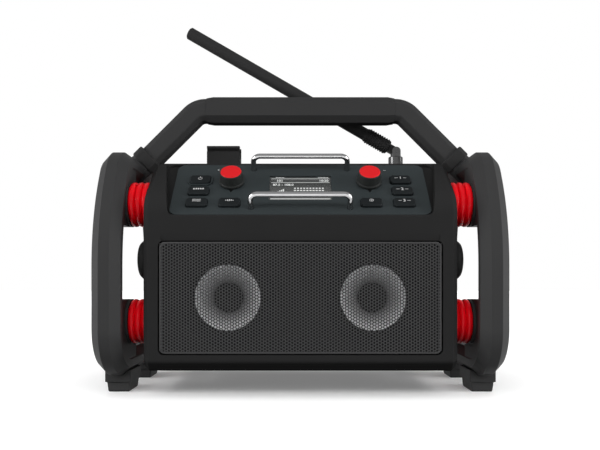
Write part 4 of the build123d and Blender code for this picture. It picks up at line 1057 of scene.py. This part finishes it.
# ---------------------------------------------------------------- control deck
@dataclass
class ControlDeck:
    """Sloped panel with its keys, knobs, display and guard bars.

    Places on the deck are given as u across, v up the slope and w above the panel.
    """

    front: float = -115.0 * MM
    height: float = 188.0 * MM
    slope: float = 45.0
    ink: float = 0.08 * MM
    ink_crease: float = 20.0
    stroke: float = 0.6 * MM
    arc_step: float = 20.0                   # degrees that one piece of an arc covers
    letter_share: float = 1.4                # of a font's size to the height of its digits
    letter_swell: float = 0.12 * MM
    letter_facets: int = 3
    key_top: float = 3.0 * MM
    key_edge: float = 0.45 * MM
    key_columns: Spot = (107.5 * MM, 73.5 * MM)
    key_rows: Point = (18.0 * MM, 37.5 * MM, 57.0 * MM)
    legend_lift: float = 1.6 * MM            # of the signs over their rows
    ring_radius: float = 1.9 * MM
    ring_drop: float = 1.2 * MM
    ring_span: Spot = (125.0, 415.0)         # degrees, open at the top
    tick: Spot = (0.8 * MM, 2.4 * MM)
    tick_rise: float = 0.6 * MM
    dot: Spot = (0.9 * MM, 1.6 * MM)
    mode_bar: Spot = (1.7 * MM, 2.3 * MM)
    mode_pitch: float = 2.4 * MM
    menu_width: float = 9.0 * MM
    menu_pitch: float = 1.5 * MM
    bass_width: float = 1.1 * MM
    bass_pitch: float = 1.9 * MM
    bass_heights: Tuple[float, ...] = (1.2 * MM, 2.4 * MM, 3.2 * MM, 2.4 * MM, 1.2 * MM)
    preset_drop: float = 0.4 * MM
    preset_height: float = 4.2 * MM
    dash_reach: float = 4.6 * MM
    dash_width: float = 3.4 * MM
    knob_u: float = 73.5 * MM
    wedge_tip: float = 36.6 * MM
    wedge_root: float = 41.2 * MM
    wedge_half: float = 2.4 * MM
    display_v: float = 45.0 * MM
    screen_half: Spot = (32.8 * MM, 20.8 * MM)
    screen_w: Spot = (-3.0 * MM, -1.6 * MM)
    screen_inset: float = 0.1 * MM
    window_w: Spot = (-1.4 * MM, -0.8 * MM)
    page_half: float = 31.5 * MM             # half the width of the page that the screen shows
    nodes: Dict[str, Tuple[Finish, Slot, float]] = field(default_factory=lambda: {
        "control_panel": (Finish.PANEL, Slot.PANEL, 0.35 * MM),
        "volume_knob": (Finish.KNOB, Slot.KNOB, 0.4 * MM),
        "tuning_knob": (Finish.KNOB, Slot.KNOB, 0.4 * MM),
        "volume_knob_cap": (Finish.CAP, Slot.KNOB_CAP, 0.3 * MM),
        "tuning_knob_cap": (Finish.CAP, Slot.KNOB_CAP, 0.3 * MM),
        "guard_bar_front": (Finish.CHROME, Slot.CHROME_ROD, 0.3 * MM),
        "guard_bar_rear": (Finish.CHROME, Slot.CHROME_ROD, 0.3 * MM),
    })

    def laid(self, mesh: bpy.types.Mesh) -> bpy.types.Mesh:
        """Turn a mesh from the deck's directions into the radio's, and put it on the deck.

        Args:
            mesh: the mesh, moved in place.

        Returns:
            The same mesh.
        """
        place = Matrix.Translation((0, self.front, self.height))
        mesh.transform(place @ Matrix.Rotation(math.radians(self.slope), 4, "X"))
        return mesh

    def mark(
        self, name: str, body: Body, outlines: Iterable[Sequence[Spot]], low: float,
        finish: Finish = Finish.MARK,
    ) -> None:
        """Print a legend made of flat outlines.

        Args:
            name: the piece's name.
            body: the body that it is printed on.
            outlines: the outlines, in metres on the deck.
            low: the surface that it lies on.
            finish: its ink.
        """
        work = bmesh.new()
        for outline in outlines:
            self.slab(work, outline, low, low + self.ink)
        mesh = meshed(work, f"{name}_shape", self.ink_crease)
        finished(self.laid(mesh), name, finish, body)

    def digits(
        self, name: str, body: Body, text: str, spot: Spot, size: float, low: float,
        finish: Finish = Finish.MARK,
    ) -> None:
        """Print plain digits.

        Args:
            name: the piece's name.
            body: the body that they are printed on.
            text: the digits.
            spot: their middle.
            size: their height.
            low: the surface that they lie on.
            finish: their ink.
        """
        curve = bpy.data.curves.new(f"{name}_curve", "FONT")
        curve.body = text
        curve.size = size * self.letter_share
        curve.align_x, curve.align_y = "CENTER", "CENTER"
        curve.extrude = self.ink / 2
        curve.offset = self.letter_swell
        curve.resolution_u = self.letter_facets
        mesh = baked(bpy.data.objects.new(f"{name}_holder", curve))
        mesh.transform(Matrix.Translation((*spot, low + self.ink / 2)))
        finished(self.laid(mesh), name, finish, body)

    def slab(self, work: bmesh.types.BMesh, outline: Sequence[Spot], low: float, high: float) -> None:
        """Raise a flat outline into a plate between two levels."""
        looped(work, [[(u, v, level) for u, v in outline] for level in (low, high)], False, True)

    def bar(self, u: float, v: float, width: float, height: float) -> List[Spot]:
        """Outline a bar about a point."""
        corners = ((-0.5, -0.5), (0.5, -0.5), (0.5, 0.5), (-0.5, 0.5))
        return [(u + width * across, v + height * up) for across, up in corners]

    def bars(
        self, count: int, start: Spot, pitch: Spot, size: Spot, growth: float = 0.0,
    ) -> List[List[Spot]]:
        """Outline a row of bars.

        Args:
            count: how many.
            start: the middle of the first.
            pitch: from the middle of one to the next, across and up.
            size: the first one's width and height.
            growth: how much taller each is than the last.

        Returns:
            Their outlines.
        """
        return [
            self.bar(
                start[0] + pitch[0] * step, start[1] + pitch[1] * step, size[0], size[1] + growth * step
            )
            for step in range(count)
        ]

    def arc(self, u: float, v: float, start: float, end: float) -> List[List[Spot]]:
        """Outline a curved stroke.

        Args:
            u: the arc's middle, across.
            v: the arc's middle, up the slope.
            start: its first angle in degrees.
            end: its last angle in degrees.

        Returns:
            One outline for each short piece of the arc.
        """
        steps = int(abs(end - start) / self.arc_step)
        angles = [math.radians(start + (end - start) * step / steps) for step in range(steps + 1)]
        inner, outer = self.ring_radius - self.stroke / 2, self.ring_radius + self.stroke / 2
        return [
            [
                (u + radius * math.cos(angle), v + radius * math.sin(angle))
                for radius, angle in ((inner, a), (outer, a), (outer, b), (inner, b))
            ]
            for a, b in zip(angles, angles[1:])
        ]

    def legends(self) -> None:
        """Print plain signs on the keys: a stroke in a ring, lines, bars, and digits."""
        outer, inner = self.key_columns
        low, middle, top = (row + self.legend_lift for row in self.key_rows)
        power = self.arc(-outer, top - self.ring_drop, *self.ring_span)
        power.append(self.bar(-outer, top + self.tick_rise, *self.tick))
        bass = [
            self.bar(-inner + place * self.bass_pitch, low, self.bass_width, height)
            for place, height in zip(range(-2, 3), self.bass_heights)
        ]
        signs = {
            "power": power,
            "mode": self.bars(5, (-outer - 2 * self.mode_pitch, middle), (self.mode_pitch, 0), self.mode_bar),
            "menu": self.bars(
                3, (-outer, low - self.menu_pitch), (0, self.menu_pitch), (self.menu_width, self.stroke)
            ),
            "bass": bass,
            "info": self.arc(inner, low, 0, 360) + [self.bar(inner, low, *self.dot)],
        }
        for name, outlines in signs.items():
            self.mark(f"{name}_sign", Body(f"{name}_key"), outlines, self.key_top)
        for name, digit, row in (("one", "1", top), ("two", "2", middle), ("three", "3", low)):
            body, line = Body(f"preset_{name}_key"), row - self.preset_drop
            self.digits(
                f"preset_{name}_sign", body, digit, (outer, line), self.preset_height, self.key_top
            )
            dashes = self.bars(
                2, (outer - self.dash_reach, line), (2 * self.dash_reach, 0), (self.dash_width, self.stroke)
            )
            self.mark(f"preset_{name}_line", body, dashes, self.key_top)

    def pointers(self) -> None:
        """Mark each knob's zero with a small wedge, and its scale with a small sign."""
        for name, side in (("volume", Side.LEFT), ("tuning", Side.RIGHT)):
            u, half = side.sign * self.knob_u, self.wedge_half
            wedge = [(u, self.wedge_tip), (u + half, self.wedge_root), (u - half, self.wedge_root)]
            self.mark(f"{name}_wedge", Body.RADIO, [wedge], 0.0, Finish.POINTER)
        horn = [(-90.1, 76.1), (-89.2, 75.5), (-89.2, 77.7), (-90.1, 77.1)]
        arrows = [[(90.8, 75.6), (91.9, 74.8), (91.9, 76.4)], [(93.6, 75.6), (92.5, 76.4), (92.5, 74.8)]]
        signs = {"volume": [self.bar(-90.6, 76.6, 0.7, 1.1), horn], "tuning": arrows}
        for name, outlines in signs.items():
            outlines = [[(u * MM, v * MM) for u, v in outline] for outline in outlines]
            self.mark(f"{name}_sign", Body.RADIO, outlines, 0.0)

    def plate(
        self, name: str, levels: Spot, inset: float, finish: Finish,
        node: Optional[str] = None,
    ) -> None:
        """Lay a flat plate in the display's opening.

        Args:
            name: the piece's name.
            levels: its underside and its top.
            inset: how far it keeps from the opening's edge.
            finish: its finish.
            node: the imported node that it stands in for, if any.
        """
        half_u, half_v = (half - inset for half in self.screen_half)
        work = bmesh.new()
        self.slab(work, self.bar(0, self.display_v, 2 * half_u, 2 * half_v), *levels)
        finished(self.laid(meshed(work, f"{name}_shape")), name, finish, Body.RADIO, node)

    def screen(self) -> None:
        """Show a plain tuning page: rules, bars and digits, under a thin window."""
        self.plate("display_window", self.window_w, 0.0, Finish.WINDOW, "display_lens")
        self.plate("screen_plate", self.screen_w, self.screen_inset, Finish.SCREEN)
        low, half = self.screen_w[1], self.page_half
        status_line, dot = 64.6 * MM, (1.0 * MM, 1.0 * MM)
        rules = [self.bar(0, line, 2 * half, 0.5 * MM) for line in (62.4 * MM, 55.6 * MM)]
        rules += self.bars(6, (5.4 * MM - half, status_line), (1.6 * MM, 0), dot)
        rules += self.bars(7, (half - 2.0 * MM, status_line), (-1.6 * MM, 0), dot)
        rules += self.bars(
            5, (-25.6 * MM, 38.6 * MM), (1.9 * MM, 0.6 * MM), (1.3 * MM, 1.4 * MM), 1.2 * MM
        )
        for line, width in ((45.6 * MM, 1.9 * MM), (41.8 * MM, 2.3 * MM)):
            rules += self.bars(10, (-5.8 * MM, line), (3.3 * MM, 0), (width, 1.7 * MM))
        rules.append(self.bar(0, 27.4 * MM, 2 * half, 1.0 * MM))
        self.mark("screen_rules", Body.RADIO, rules, low, Finish.LIT)
        for name, text, u, v, size in (
            ("band", "101", -22.3, 58.8, 3.5), ("clock", "10:20", 25.2, 58.8, 3.3),
            ("title", "87.5 - 108.0", -18.4, 51.6, 3.3), ("figure", "98.5", 10.0, 33.5, 4.6),
        ):
            self.digits(
                f"screen_{name}", Body.RADIO, text, (u * MM, v * MM), size * MM, low, Finish.LIT
            )

    def build(self) -> None:
        """Build every piece on and under the deck."""
        for node, (finish, slot, edge) in self.nodes.items():
            softened(node, finish, edge)
        for name in ("power", "mode", "menu", "bass", "info", "preset_one", "preset_two", "preset_three"):
            softened(f"{name}_key", Finish.KEY, self.key_edge, 3)
        self.legends()
        self.pointers()
        self.screen()
        # the display module takes the screen's painted glow
        dressed("display_module", Finish.SCREEN)
        dressed("key_board", Finish.BOARD)
        dressed("encoders", Finish.BRASS)


# ---------------------------------------------------------------- speakers and grille
@dataclass
class SpeakerSet:
    """Perforated grille pan over two speakers."""

    columns: int = 103
    rows: int = 35
    column_pitch: float = 2.78 * MM
    row_pitch: float = 3.2 * MM
    stagger: float = 0.5
    hole_radius: float = 1.25 * MM
    hole_sides: int = 8
    sheet: float = 0.5 * MM
    sink: float = 0.2 * MM
    margin: float = 0.8 * MM         # from the rim's outside to the outermost cells' middles
    gap: float = 0.5 * MM
    rim_width: float = 1.8 * MM
    rim_corner: float = 6.0 * MM
    rim_return: float = 1.0 * MM
    rim_lip: float = 0.3 * MM
    roll: float = 1.2 * MM
    roll_steps: int = 4
    corner_steps: int = 7

    def cell(self) -> bpy.types.Mesh:
        """Build one cell of the sheet, a plate with a round hole through it.

        Returns:
            The cell's mesh, open at its outer edges so that neighbours join.
        """
        work = bmesh.new()
        half_u, half_v = self.column_pitch / 2, self.row_pitch / 2
        border = [
            (half_u, 0), (half_u, half_v), (0, half_v), (-half_u, half_v),
            (-half_u, 0), (-half_u, -half_v), (0, -half_v), (half_u, -half_v),
        ]
        hole = circle(self.hole_radius, self.hole_sides)
        steps = ((border, 0.0), (hole, 0.0), (hole, self.sheet), (border, self.sheet))
        looped(work, [[(u, level, v) for u, v in outline] for outline, level in steps], False, False)
        mesh = bpy.data.meshes.new("grille_cell")
        work.to_mesh(mesh)
        work.free()
        return mesh

    def perforation(self) -> None:
        """Build the perforated sheet."""
        low, high = (Vector(corner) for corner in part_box("speaker_grille"))
        half, trim = (high - low) / 2, self.gap + self.margin
        outline = (half.x - trim, half.z - trim, self.rim_corner - trim)
        mesh = in_lattice(
            self.cell(), Finish.GRILLE, self.columns, self.rows, self.column_pitch, self.row_pitch,
            self.stagger, outline,
        )
        mesh.transform(Matrix.Translation((low.x + half.x, low.y + self.sink, low.z + half.z)))
        finished(mesh, "grille_sheet", Finish.GRILLE, Body.RADIO, "speaker_grille")

    def rounded(self, half_width: float, half_height: float, radius: float) -> List[Spot]:
        """Give the points round a rectangle with round corners.

        Args:
            half_width: half its width.
            half_height: half its height.
            radius: its corners' radius.

        Returns:
            The points, corner by corner.
        """
        points = []
        for quarter, (sign_u, sign_v) in enumerate(((1, 1), (-1, 1), (-1, -1), (1, -1))):
            for step in range(self.corner_steps + 1):
                angle = math.radians(90 * quarter + 90 * step / self.corner_steps)
                points.append((
                    sign_u * (half_width - radius) + radius * math.cos(angle),
                    sign_v * (half_height - radius) + radius * math.sin(angle),
                ))
        return points

    def rim(self) -> None:
        """Build the pan's rim: a rolled front edge, a side wall and a return."""
        low, high = (Vector(corner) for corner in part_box("speaker_grille"))
        middle, half = (low + high) / 2, (high - low) / 2
        half_width, half_height = half.x - self.gap, half.z - self.gap
        front, back = low.y, high.y
        profile = [(0.0, back), (0.0, front + self.roll)]
        for step in range(1, self.roll_steps + 1):
            angle = math.pi / 2 * step / self.roll_steps
            profile.append((
                self.roll * (1 - math.cos(angle)), front + self.roll * (1 - math.sin(angle))
            ))
        profile += [
            (self.rim_width - self.rim_lip, front), (self.rim_width, front + self.rim_lip),
            (self.rim_width, front + self.rim_return), (self.rim_return, front + self.rim_return),
            (self.rim_return, back),
        ]
        work = bmesh.new()
        rings = []
        for inset, depth in profile:
            outline = self.rounded(half_width - inset, half_height - inset, self.rim_corner - inset)
            rings.append([(middle.x + u, depth, middle.z + v) for u, v in outline])
        looped(work, rings, True, False)
        mesh = meshed(work, "grille_rim_shape")
        finished(mesh, "grille_rim", Finish.GRILLE, Body.RADIO, "speaker_grille")

    def build(self) -> None:
        """Build the grille and dress the speakers."""
        self.perforation()
        self.rim()
        for side in Side:
            dressed(f"speaker_cone_{side.word}", Finish.CONE)
            dressed(f"speaker_basket_{side.word}", Finish.BASKET)
            dressed(f"speaker_magnet_{side.word}", Finish.IRON)


# ---------------------------------------------------------------- side frames
@dataclass
class SideFrames:
    """Side frames on their feet, and the red bellows that carry the housing."""

    edge: float = 1.4 * MM
    foot_edge: float = 0.8 * MM
    bolt_edge: float = 0.5 * MM
    start: float = 160.0 * MM
    ribs: int = 3
    pitch: float = 7.0 * MM
    crest: float = 23.95 * MM
    root: float = 20.4 * MM
    rib_steps: int = 12
    fullness: float = 0.8            # power of the ribs' sine: the lower, the fuller
    bellows_crease: float = 60.0
    damper_y: float = 73.0 * MM
    damper_z: Spot = (77.0 * MM, 202.5 * MM)
    turns: int = 72
    washer_inner: float = 6.0 * MM
    washer_outer: float = 9.6 * MM
    washer_height: float = 1.0 * MM
    washer_edge: float = 0.3 * MM
    washer_turns: int = 32
    washer_crease: float = 35.0
    web_face: float = 193.5 * MM

    def bellows(self, end: End, side: Side) -> None:
        """Build the two bellows at one end of one side.

        Args:
            end: the end.
            side: the side.
        """
        profile = [(self.start, self.root)]
        for rib in range(self.ribs):
            middle = self.start + (rib + 0.5) * self.pitch
            for step in range(1, self.rib_steps):
                angle = math.pi * step / self.rib_steps
                swell = math.sin(angle) ** self.fullness
                profile.append((
                    middle - self.pitch / 2 * math.cos(angle), self.root + (self.crest - self.root) * swell
                ))
            profile.append((self.start + (rib + 1) * self.pitch, self.root))
        work = bmesh.new()
        y = end.sign * self.damper_y
        for z in self.damper_z:
            looped(work, [
                [(side.sign * along, y + u, z + v) for u, v in circle(radius, self.turns)]
                for along, radius in profile
            ], False, True)
        name = f"dampers_{end.word}_{side.word}"
        mesh = meshed(work, f"{name}_shape", self.bellows_crease)
        finished(mesh, f"{name}_bellows", Finish.BELLOWS, Body.RADIO, name)

    def washers(self, side: Side) -> None:
        """Lay a washer under the head of every damper bolt on one side.

        Args:
            side: the side.
        """
        inner, outer, height = self.washer_inner, self.washer_outer, self.washer_height
        profile = (
            (inner, 0.0), (outer, 0.0), (outer, height - self.washer_edge),
            (outer - self.washer_edge, height), (inner, height),
        )
        work = bmesh.new()
        looped(work, [
            [(u, level, v) for u, v in circle(radius, self.washer_turns)] for radius, level in profile
        ], True, False)
        low_z, high_z = self.damper_z
        mesh = in_lattice(
            meshed(work, "washer_cell"), Finish.DARK_STEEL, 2, 2, 2 * self.damper_y, high_z - low_z
        )
        mesh.transform(
            Matrix.Translation((side.sign * self.web_face, 0, (low_z + high_z) / 2))
            @ Matrix.Rotation(-side.sign * math.pi / 2, 4, "Z")
        )
        creased(mesh, self.washer_crease)
        finished(mesh, f"damper_washers_{side.word}", Finish.DARK_STEEL, Body.RADIO)

    def build(self) -> None:
        """Build frames, feet, bellows and bolts."""
        for side in Side:
            softened(f"side_frame_{side.word}", Finish.FRAME, self.edge, 3)
            for end in End:
                softened(f"foot_{end.word}_{side.word}", Finish.FOOT, self.foot_edge)
                self.bellows(end, side)
        softened("damper_bolts", Finish.DARK_STEEL, self.bolt_edge)
        for side in Side:
            self.washers(side)


# ---------------------------------------------------------------- handle
@dataclass
class CarryHandle:
    """Arched bar with a rubber grip and a collar at each foot."""

    edge: float = 1.3 * MM
    grip_edge: float = 0.3 * MM
    collar_edge: float = 0.8 * MM

    def build(self) -> None:
        """Round the handle's edges."""
        softened("handle_bar", Finish.HANDLE, self.edge, 3)
        softened("handle_grip", Finish.GRIP, self.grip_edge)
        for side in Side:
            softened(f"handle_collar_{side.word}", Finish.SLEEVE, self.collar_edge)


# ---------------------------------------------------------------- antenna
@dataclass
class Antenna:
    """Sleeved whip on a swivelling fork, and the rest it folds into."""

    edge: float = 0.4 * MM
    clip_edge: float = 0.8 * MM
    pivot: Point = (117.8 * MM, 30.0 * MM, 279.7 * MM)
    lean: float = 30.0
    collar: Spot = (14.0 * MM, 39.0 * MM)
    collar_radius: float = 8.5 * MM
    pads: int = 18
    pad_rows: int = 9
    pad: Spot = (1.9 * MM, 1.5 * MM)
    pad_height: float = 0.9 * MM
    pad_root: float = 0.3 * MM       # of each pad, below the collar's surface
    pad_top: float = 0.6             # share of a pad's size that its top has
    rest_front: float = 18.1 * MM
    rest_x: Spot = (-114.0 * MM, -74.2 * MM)
    rest_steps: Tuple[Spot, ...] = ((251.3 * MM, 278.2 * MM), (281.2 * MM, 284.7 * MM))
    rest_root: float = 0.1 * MM
    rest_relief: float = 1.3 * MM
    rest_edge: float = 0.6 * MM
    crease: float = 30.0

    def collar_pads(self) -> None:
        """Stud the whip's collar with small pads, in rings that are turned against each other."""
        length, width = (size / 2 for size in self.pad)
        cell = bmesh.new()
        rings = [
            [
                (sx * length * scale, sy * width * scale, level)
                for sx, sy in ((-1, -1), (1, -1), (1, 1), (-1, 1))
            ]
            for level, scale in (
                (-self.pad_root, 1.0), (self.pad_height / 2, 1.0), (self.pad_height, self.pad_top),
            )
        ]
        looped(cell, rings, False, True)
        start, end = self.collar
        mesh = in_rings(
            meshed(cell, "grip_pad"), Finish.SLEEVE, self.pads, self.pad_rows,
            (end - start) / (self.pad_rows - 1), self.collar_radius,
        )
        mesh.transform(
            Matrix.Translation(self.pivot)
            @ Matrix.Rotation(math.radians(self.lean + 180), 4, "Y")
            @ Matrix.Translation((start, 0, 0))
        )
        creased(mesh, self.crease)
        finished(mesh, "whip_pads", Finish.SLEEVE, Body.ANTENNA_WHIP)

    def rest_plates(self) -> None:
        """Face the rest with a pad and a lip, with a groove between them where the clip behind shows
        near-black, as painted shade.
        """
        work = bmesh.new()
        left, right = self.rest_x
        for low, high in self.rest_steps:
            rings = []
            for inset, depth in (
                (0.0, self.rest_root), (0.0, -self.rest_relief / 2), (self.rest_edge, -self.rest_relief),
            ):
                y = self.rest_front + depth
                rings.append([
                    (left + inset, y, low + inset), (right - inset, y, low + inset),
                    (right - inset, y, high - inset), (left + inset, y, high - inset),
                ])
            looped(work, rings, False, True)
        mesh = meshed(work, "rest_pads_shape", self.crease)
        finished(mesh, "antenna_rest_pads", Finish.CLIP, Body.RADIO)

    def build(self) -> None:
        """Round the antenna's edges, dress its pin, and add pads."""
        softened("antenna_base", Finish.DARK_CHROME, self.edge)
        softened("antenna_whip", Finish.SLEEVE, self.edge)
        # the clip is near-black: painted shade in the groove between the rest's pads
        softened("antenna_clip", Finish.RECESS_SHADE, self.clip_edge)
        dressed("antenna_pin", Finish.DARK_CHROME)
        self.collar_pads()
        self.rest_plates()


# ---------------------------------------------------------------- rear fittings
@dataclass
class RearFittings:
    """Battery door, socket flap and mains inlet."""

    edge: float = 0.4 * MM
    block_edge: float = 0.3 * MM
    ribs: int = 9
    rib_length: float = 78.0 * MM
    rib_width: float = 2.2 * MM
    rib_height: float = 0.9 * MM
    rib_pitch: float = 7.0 * MM
    rib_taper: float = 1.0 * MM
    rib_end: float = 0.4             # share of a rib's section that its ends have
    rib_root: float = 113.8 * MM
    rib_crease: float = 30.0

    def door_ribs(self) -> None:
        """Raise grip ribs on the battery door."""
        low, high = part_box("battery_door")
        half_width, half_length = self.rib_width / 2, self.rib_length / 2
        section = [
            (-half_width, 0.0), (-half_width, self.rib_height / 2), (-half_width / 2, self.rib_height),
            (half_width / 2, self.rib_height), (half_width, self.rib_height / 2), (half_width, 0.0),
        ]
        rings = [
            [(along, up * scale, across * scale) for across, up in section]
            for along, scale in (
                (-half_length, self.rib_end), (-half_length + self.rib_taper, 1.0),
                (half_length - self.rib_taper, 1.0), (half_length, self.rib_end),
            )
        ]
        work = bmesh.new()
        looped(work, rings, False, True)
        mesh = in_lattice(
            meshed(work, "door_rib_cell"), Finish.HOUSING, 1, self.ribs, self.rib_pitch, self.rib_pitch
        )
        mesh.transform(Matrix.Translation((0, self.rib_root, (low[2] + high[2]) / 2)))
        creased(mesh, self.rib_crease)
        finished(mesh, "battery_door_ribs", Finish.HOUSING, Body.BATTERY_DOOR)

    def build(self) -> None:
        """Build the rear fittings."""
        softened("battery_door", Finish.HOUSING, self.edge)
        softened("socket_flap", Finish.RUBBER, self.edge)
        softened("mains_inlet", Finish.HANDLE, self.edge)
        softened("socket_block", Finish.HANDLE, self.block_edge)
        dressed("battery_door_pin", Finish.STEEL)
        dressed("battery_contacts", Finish.BRASS)
        self.door_ribs()


# ---------------------------------------------------------------- studio
@dataclass
class Studio:
    """Pale floor, soft lights and a level camera in front of the grille."""

    camera_distance: float = 0.65
    frame_front: float = -0.125
    camera_height: float = 0.1225
    sensor: float = 36.0
    lens_share: float = 650 / 600
    horizon_share: float = 54 / 600
    centre_share: float = 0.4 / 600
    far_clip: float = 50.0
    floor_half: float = 6.0
    floor_white: Colour = (0.92, 0.92, 0.92)
    floor_bounce: Colour = (0.03, 0.03, 0.03)
    floor_lift: float = 0.17
    far_lift: float = 1.0
    lift_start: float = 0.3
    lift_end: float = 2.6
    room: float = 0.55
    ceiling: float = 0.5
    ceiling_span: Spot = (0.05, 0.25)
    middle: Point = (0.0, 0.0, 0.17)

    def camera(self) -> None:
        """Place the camera, level, with the horizon below the middle of the frame."""
        data = bpy.data.cameras.new("camera")
        data.sensor_width = self.sensor
        data.lens = self.sensor * self.lens_share
        data.shift_y = self.horizon_share
        data.shift_x = -self.centre_share
        data.clip_end = self.far_clip
        camera = bpy.data.objects.new("camera", data)
        camera.location = (0.0, self.frame_front - self.camera_distance, self.camera_height)
        camera.rotation_euler = (math.pi / 2, 0.0, 0.0)
        bpy.context.scene.collection.objects.link(camera)
        bpy.context.scene.camera = camera

    def floor(self) -> bpy.types.Object:
        """Lay a floor that is white to look at and to reflect, and dark to bounce light.

        Returns:
            The floor.
        """
        mesh = bpy.data.meshes.new("floor")
        reach = self.floor_half
        corners = [(-reach, -reach, 0), (reach, -reach, 0), (reach, reach, 0), (-reach, reach, 0)]
        mesh.from_pydata(corners, [], [(0, 1, 2, 3)])
        floor = bpy.data.objects.new("floor", mesh)
        bpy.context.scene.collection.objects.link(floor)
        sheet = MaterialSheet("studio_floor")
        path = sheet.add("ShaderNodeLightPath").outputs
        direct = sheet.math("MAXIMUM", path["Is Camera Ray"], path["Is Glossy Ray"])
        seen = sheet.math("MAXIMUM", direct, path["Is Transmission Ray"])
        distance = sheet.vector_math("LENGTH", sheet.place).outputs["Value"]
        rise = sheet.ramp(distance, self.lift_start, self.lift_end, self.floor_lift, self.far_lift)
        mesh.materials.append(sheet.coated({
            "Base Color": sheet.tint(seen, self.floor_bounce, self.floor_white),
            "Roughness": 0.9,
            "Specular IOR Level": 0.0,
            "Emission Color": (1.0, 1.0, 1.0, 1.0),
            "Emission Strength": sheet.math("MULTIPLY", seen, rise),
        }))
        return floor

    def world(self) -> None:
        """Light the room evenly, show white past the floor, and a dimmer ceiling in what is polished."""
        world = bpy.data.worlds.new("studio")
        world.use_nodes = True
        bpy.context.scene.world = world
        sheet = NodeSheet(world.node_tree)
        place = sheet.add("ShaderNodeTexCoord").outputs["Generated"]
        height = sheet.add("ShaderNodeSeparateXYZ", {0: place}).outputs["Z"]
        fade = sheet.ramp(height, *self.ceiling_span, 1.0, self.ceiling, smooth=True)
        path = sheet.add("ShaderNodeLightPath").outputs
        share = sheet.add("ShaderNodeMix", {"Factor": path["Is Glossy Ray"], "A": self.room, "B": 1.0})
        level = sheet.math("MULTIPLY", share.outputs["Result"], fade)
        direct = sheet.math("MAXIMUM", path["Is Camera Ray"], path["Is Transmission Ray"])
        strength = sheet.add("ShaderNodeMix", {"Factor": direct, "A": level, "B": 1.0})
        backdrop = sheet.tree.nodes["Background"]
        sheet.feed(backdrop.inputs["Color"], (1.0, 1.0, 1.0, 1.0))
        sheet.feed(backdrop.inputs["Strength"], strength.outputs["Result"])

    def lamp(
        self, name: str, place: Point, aim: Point, size: Spot, power: float, mirrored: bool = True,
        only: Optional[bpy.types.Object] = None, spared: Optional[bpy.types.Object] = None,
    ) -> None:
        """Hang a soft box.

        Args:
            name: the lamp's name.
            place: where it hangs.
            aim: the point it faces.
            size: its width and height.
            power: its power in watts.
            mirrored: whether polished surfaces show it.
            only: the one object that it lights, or all if left out.
            spared: an object that it leaves alone.
        """
        data = bpy.data.lights.new(name, "AREA")
        data.shape = "RECTANGLE"
        data.size, data.size_y = size
        data.energy = power
        lamp = bpy.data.objects.new(name, data)
        lamp.location = place
        lamp.rotation_euler = (Vector(aim) - Vector(place)).to_track_quat("-Z", "Y").to_euler()
        lamp.visible_glossy = lamp.visible_transmission = mirrored
        lamp.visible_camera = False
        if only or spared:
            group = bpy.data.collections.new(f"{name}_receivers")
            group.objects.link(only or spared)
            group.collection_objects[0].light_linking.link_state = "INCLUDE" if only else "EXCLUDE"
            lamp.light_linking.receiver_collection = group
        bpy.context.scene.collection.objects.link(lamp)

    def build(self) -> None:
        """Set up camera, floor, world and lamps."""
        self.camera()
        floor = self.floor()
        self.world()
        for side in Side:
            place = (side.sign * 1.3, -0.45, 0.25)
            self.lamp(f"{side.word}_box", place, aim=self.middle, size=(0.8, 1.0), power=19.0)
        self.lamp(
            "front_box", (0.0, -1.4, 0.9), aim=(0, 0, 0.2), size=(1.6, 0.5), power=13.0, mirrored=False
        )
        self.lamp(
            "rear_box", (0.0, 1.5, 0.22), aim=self.middle, size=(1.6, 0.5), power=22.0, mirrored=False,
            spared=floor,
        )
        self.lamp(
            "floor_box", (0.0, 0.3, 2.0), aim=(0, 0.3, 0), size=(3.2, 3.2), power=28.0, mirrored=False,
            only=floor,
        )
        bpy.context.scene.view_settings.view_transform = "Standard"


def main() -> None:
    """Build the studio and every sub-assembly in order."""
    logging.basicConfig(level=logging.INFO, format="%(name)s: %(message)s")
    Studio().build()
    for assembly in (
        Housing(), ControlDeck(), SpeakerSet(), SideFrames(), CarryHandle(), Antenna(), RearFittings(),
    ):
        LOG.info("building %s", type(assembly).__name__)
        assembly.build()


if __name__ == "__main__":
    main()
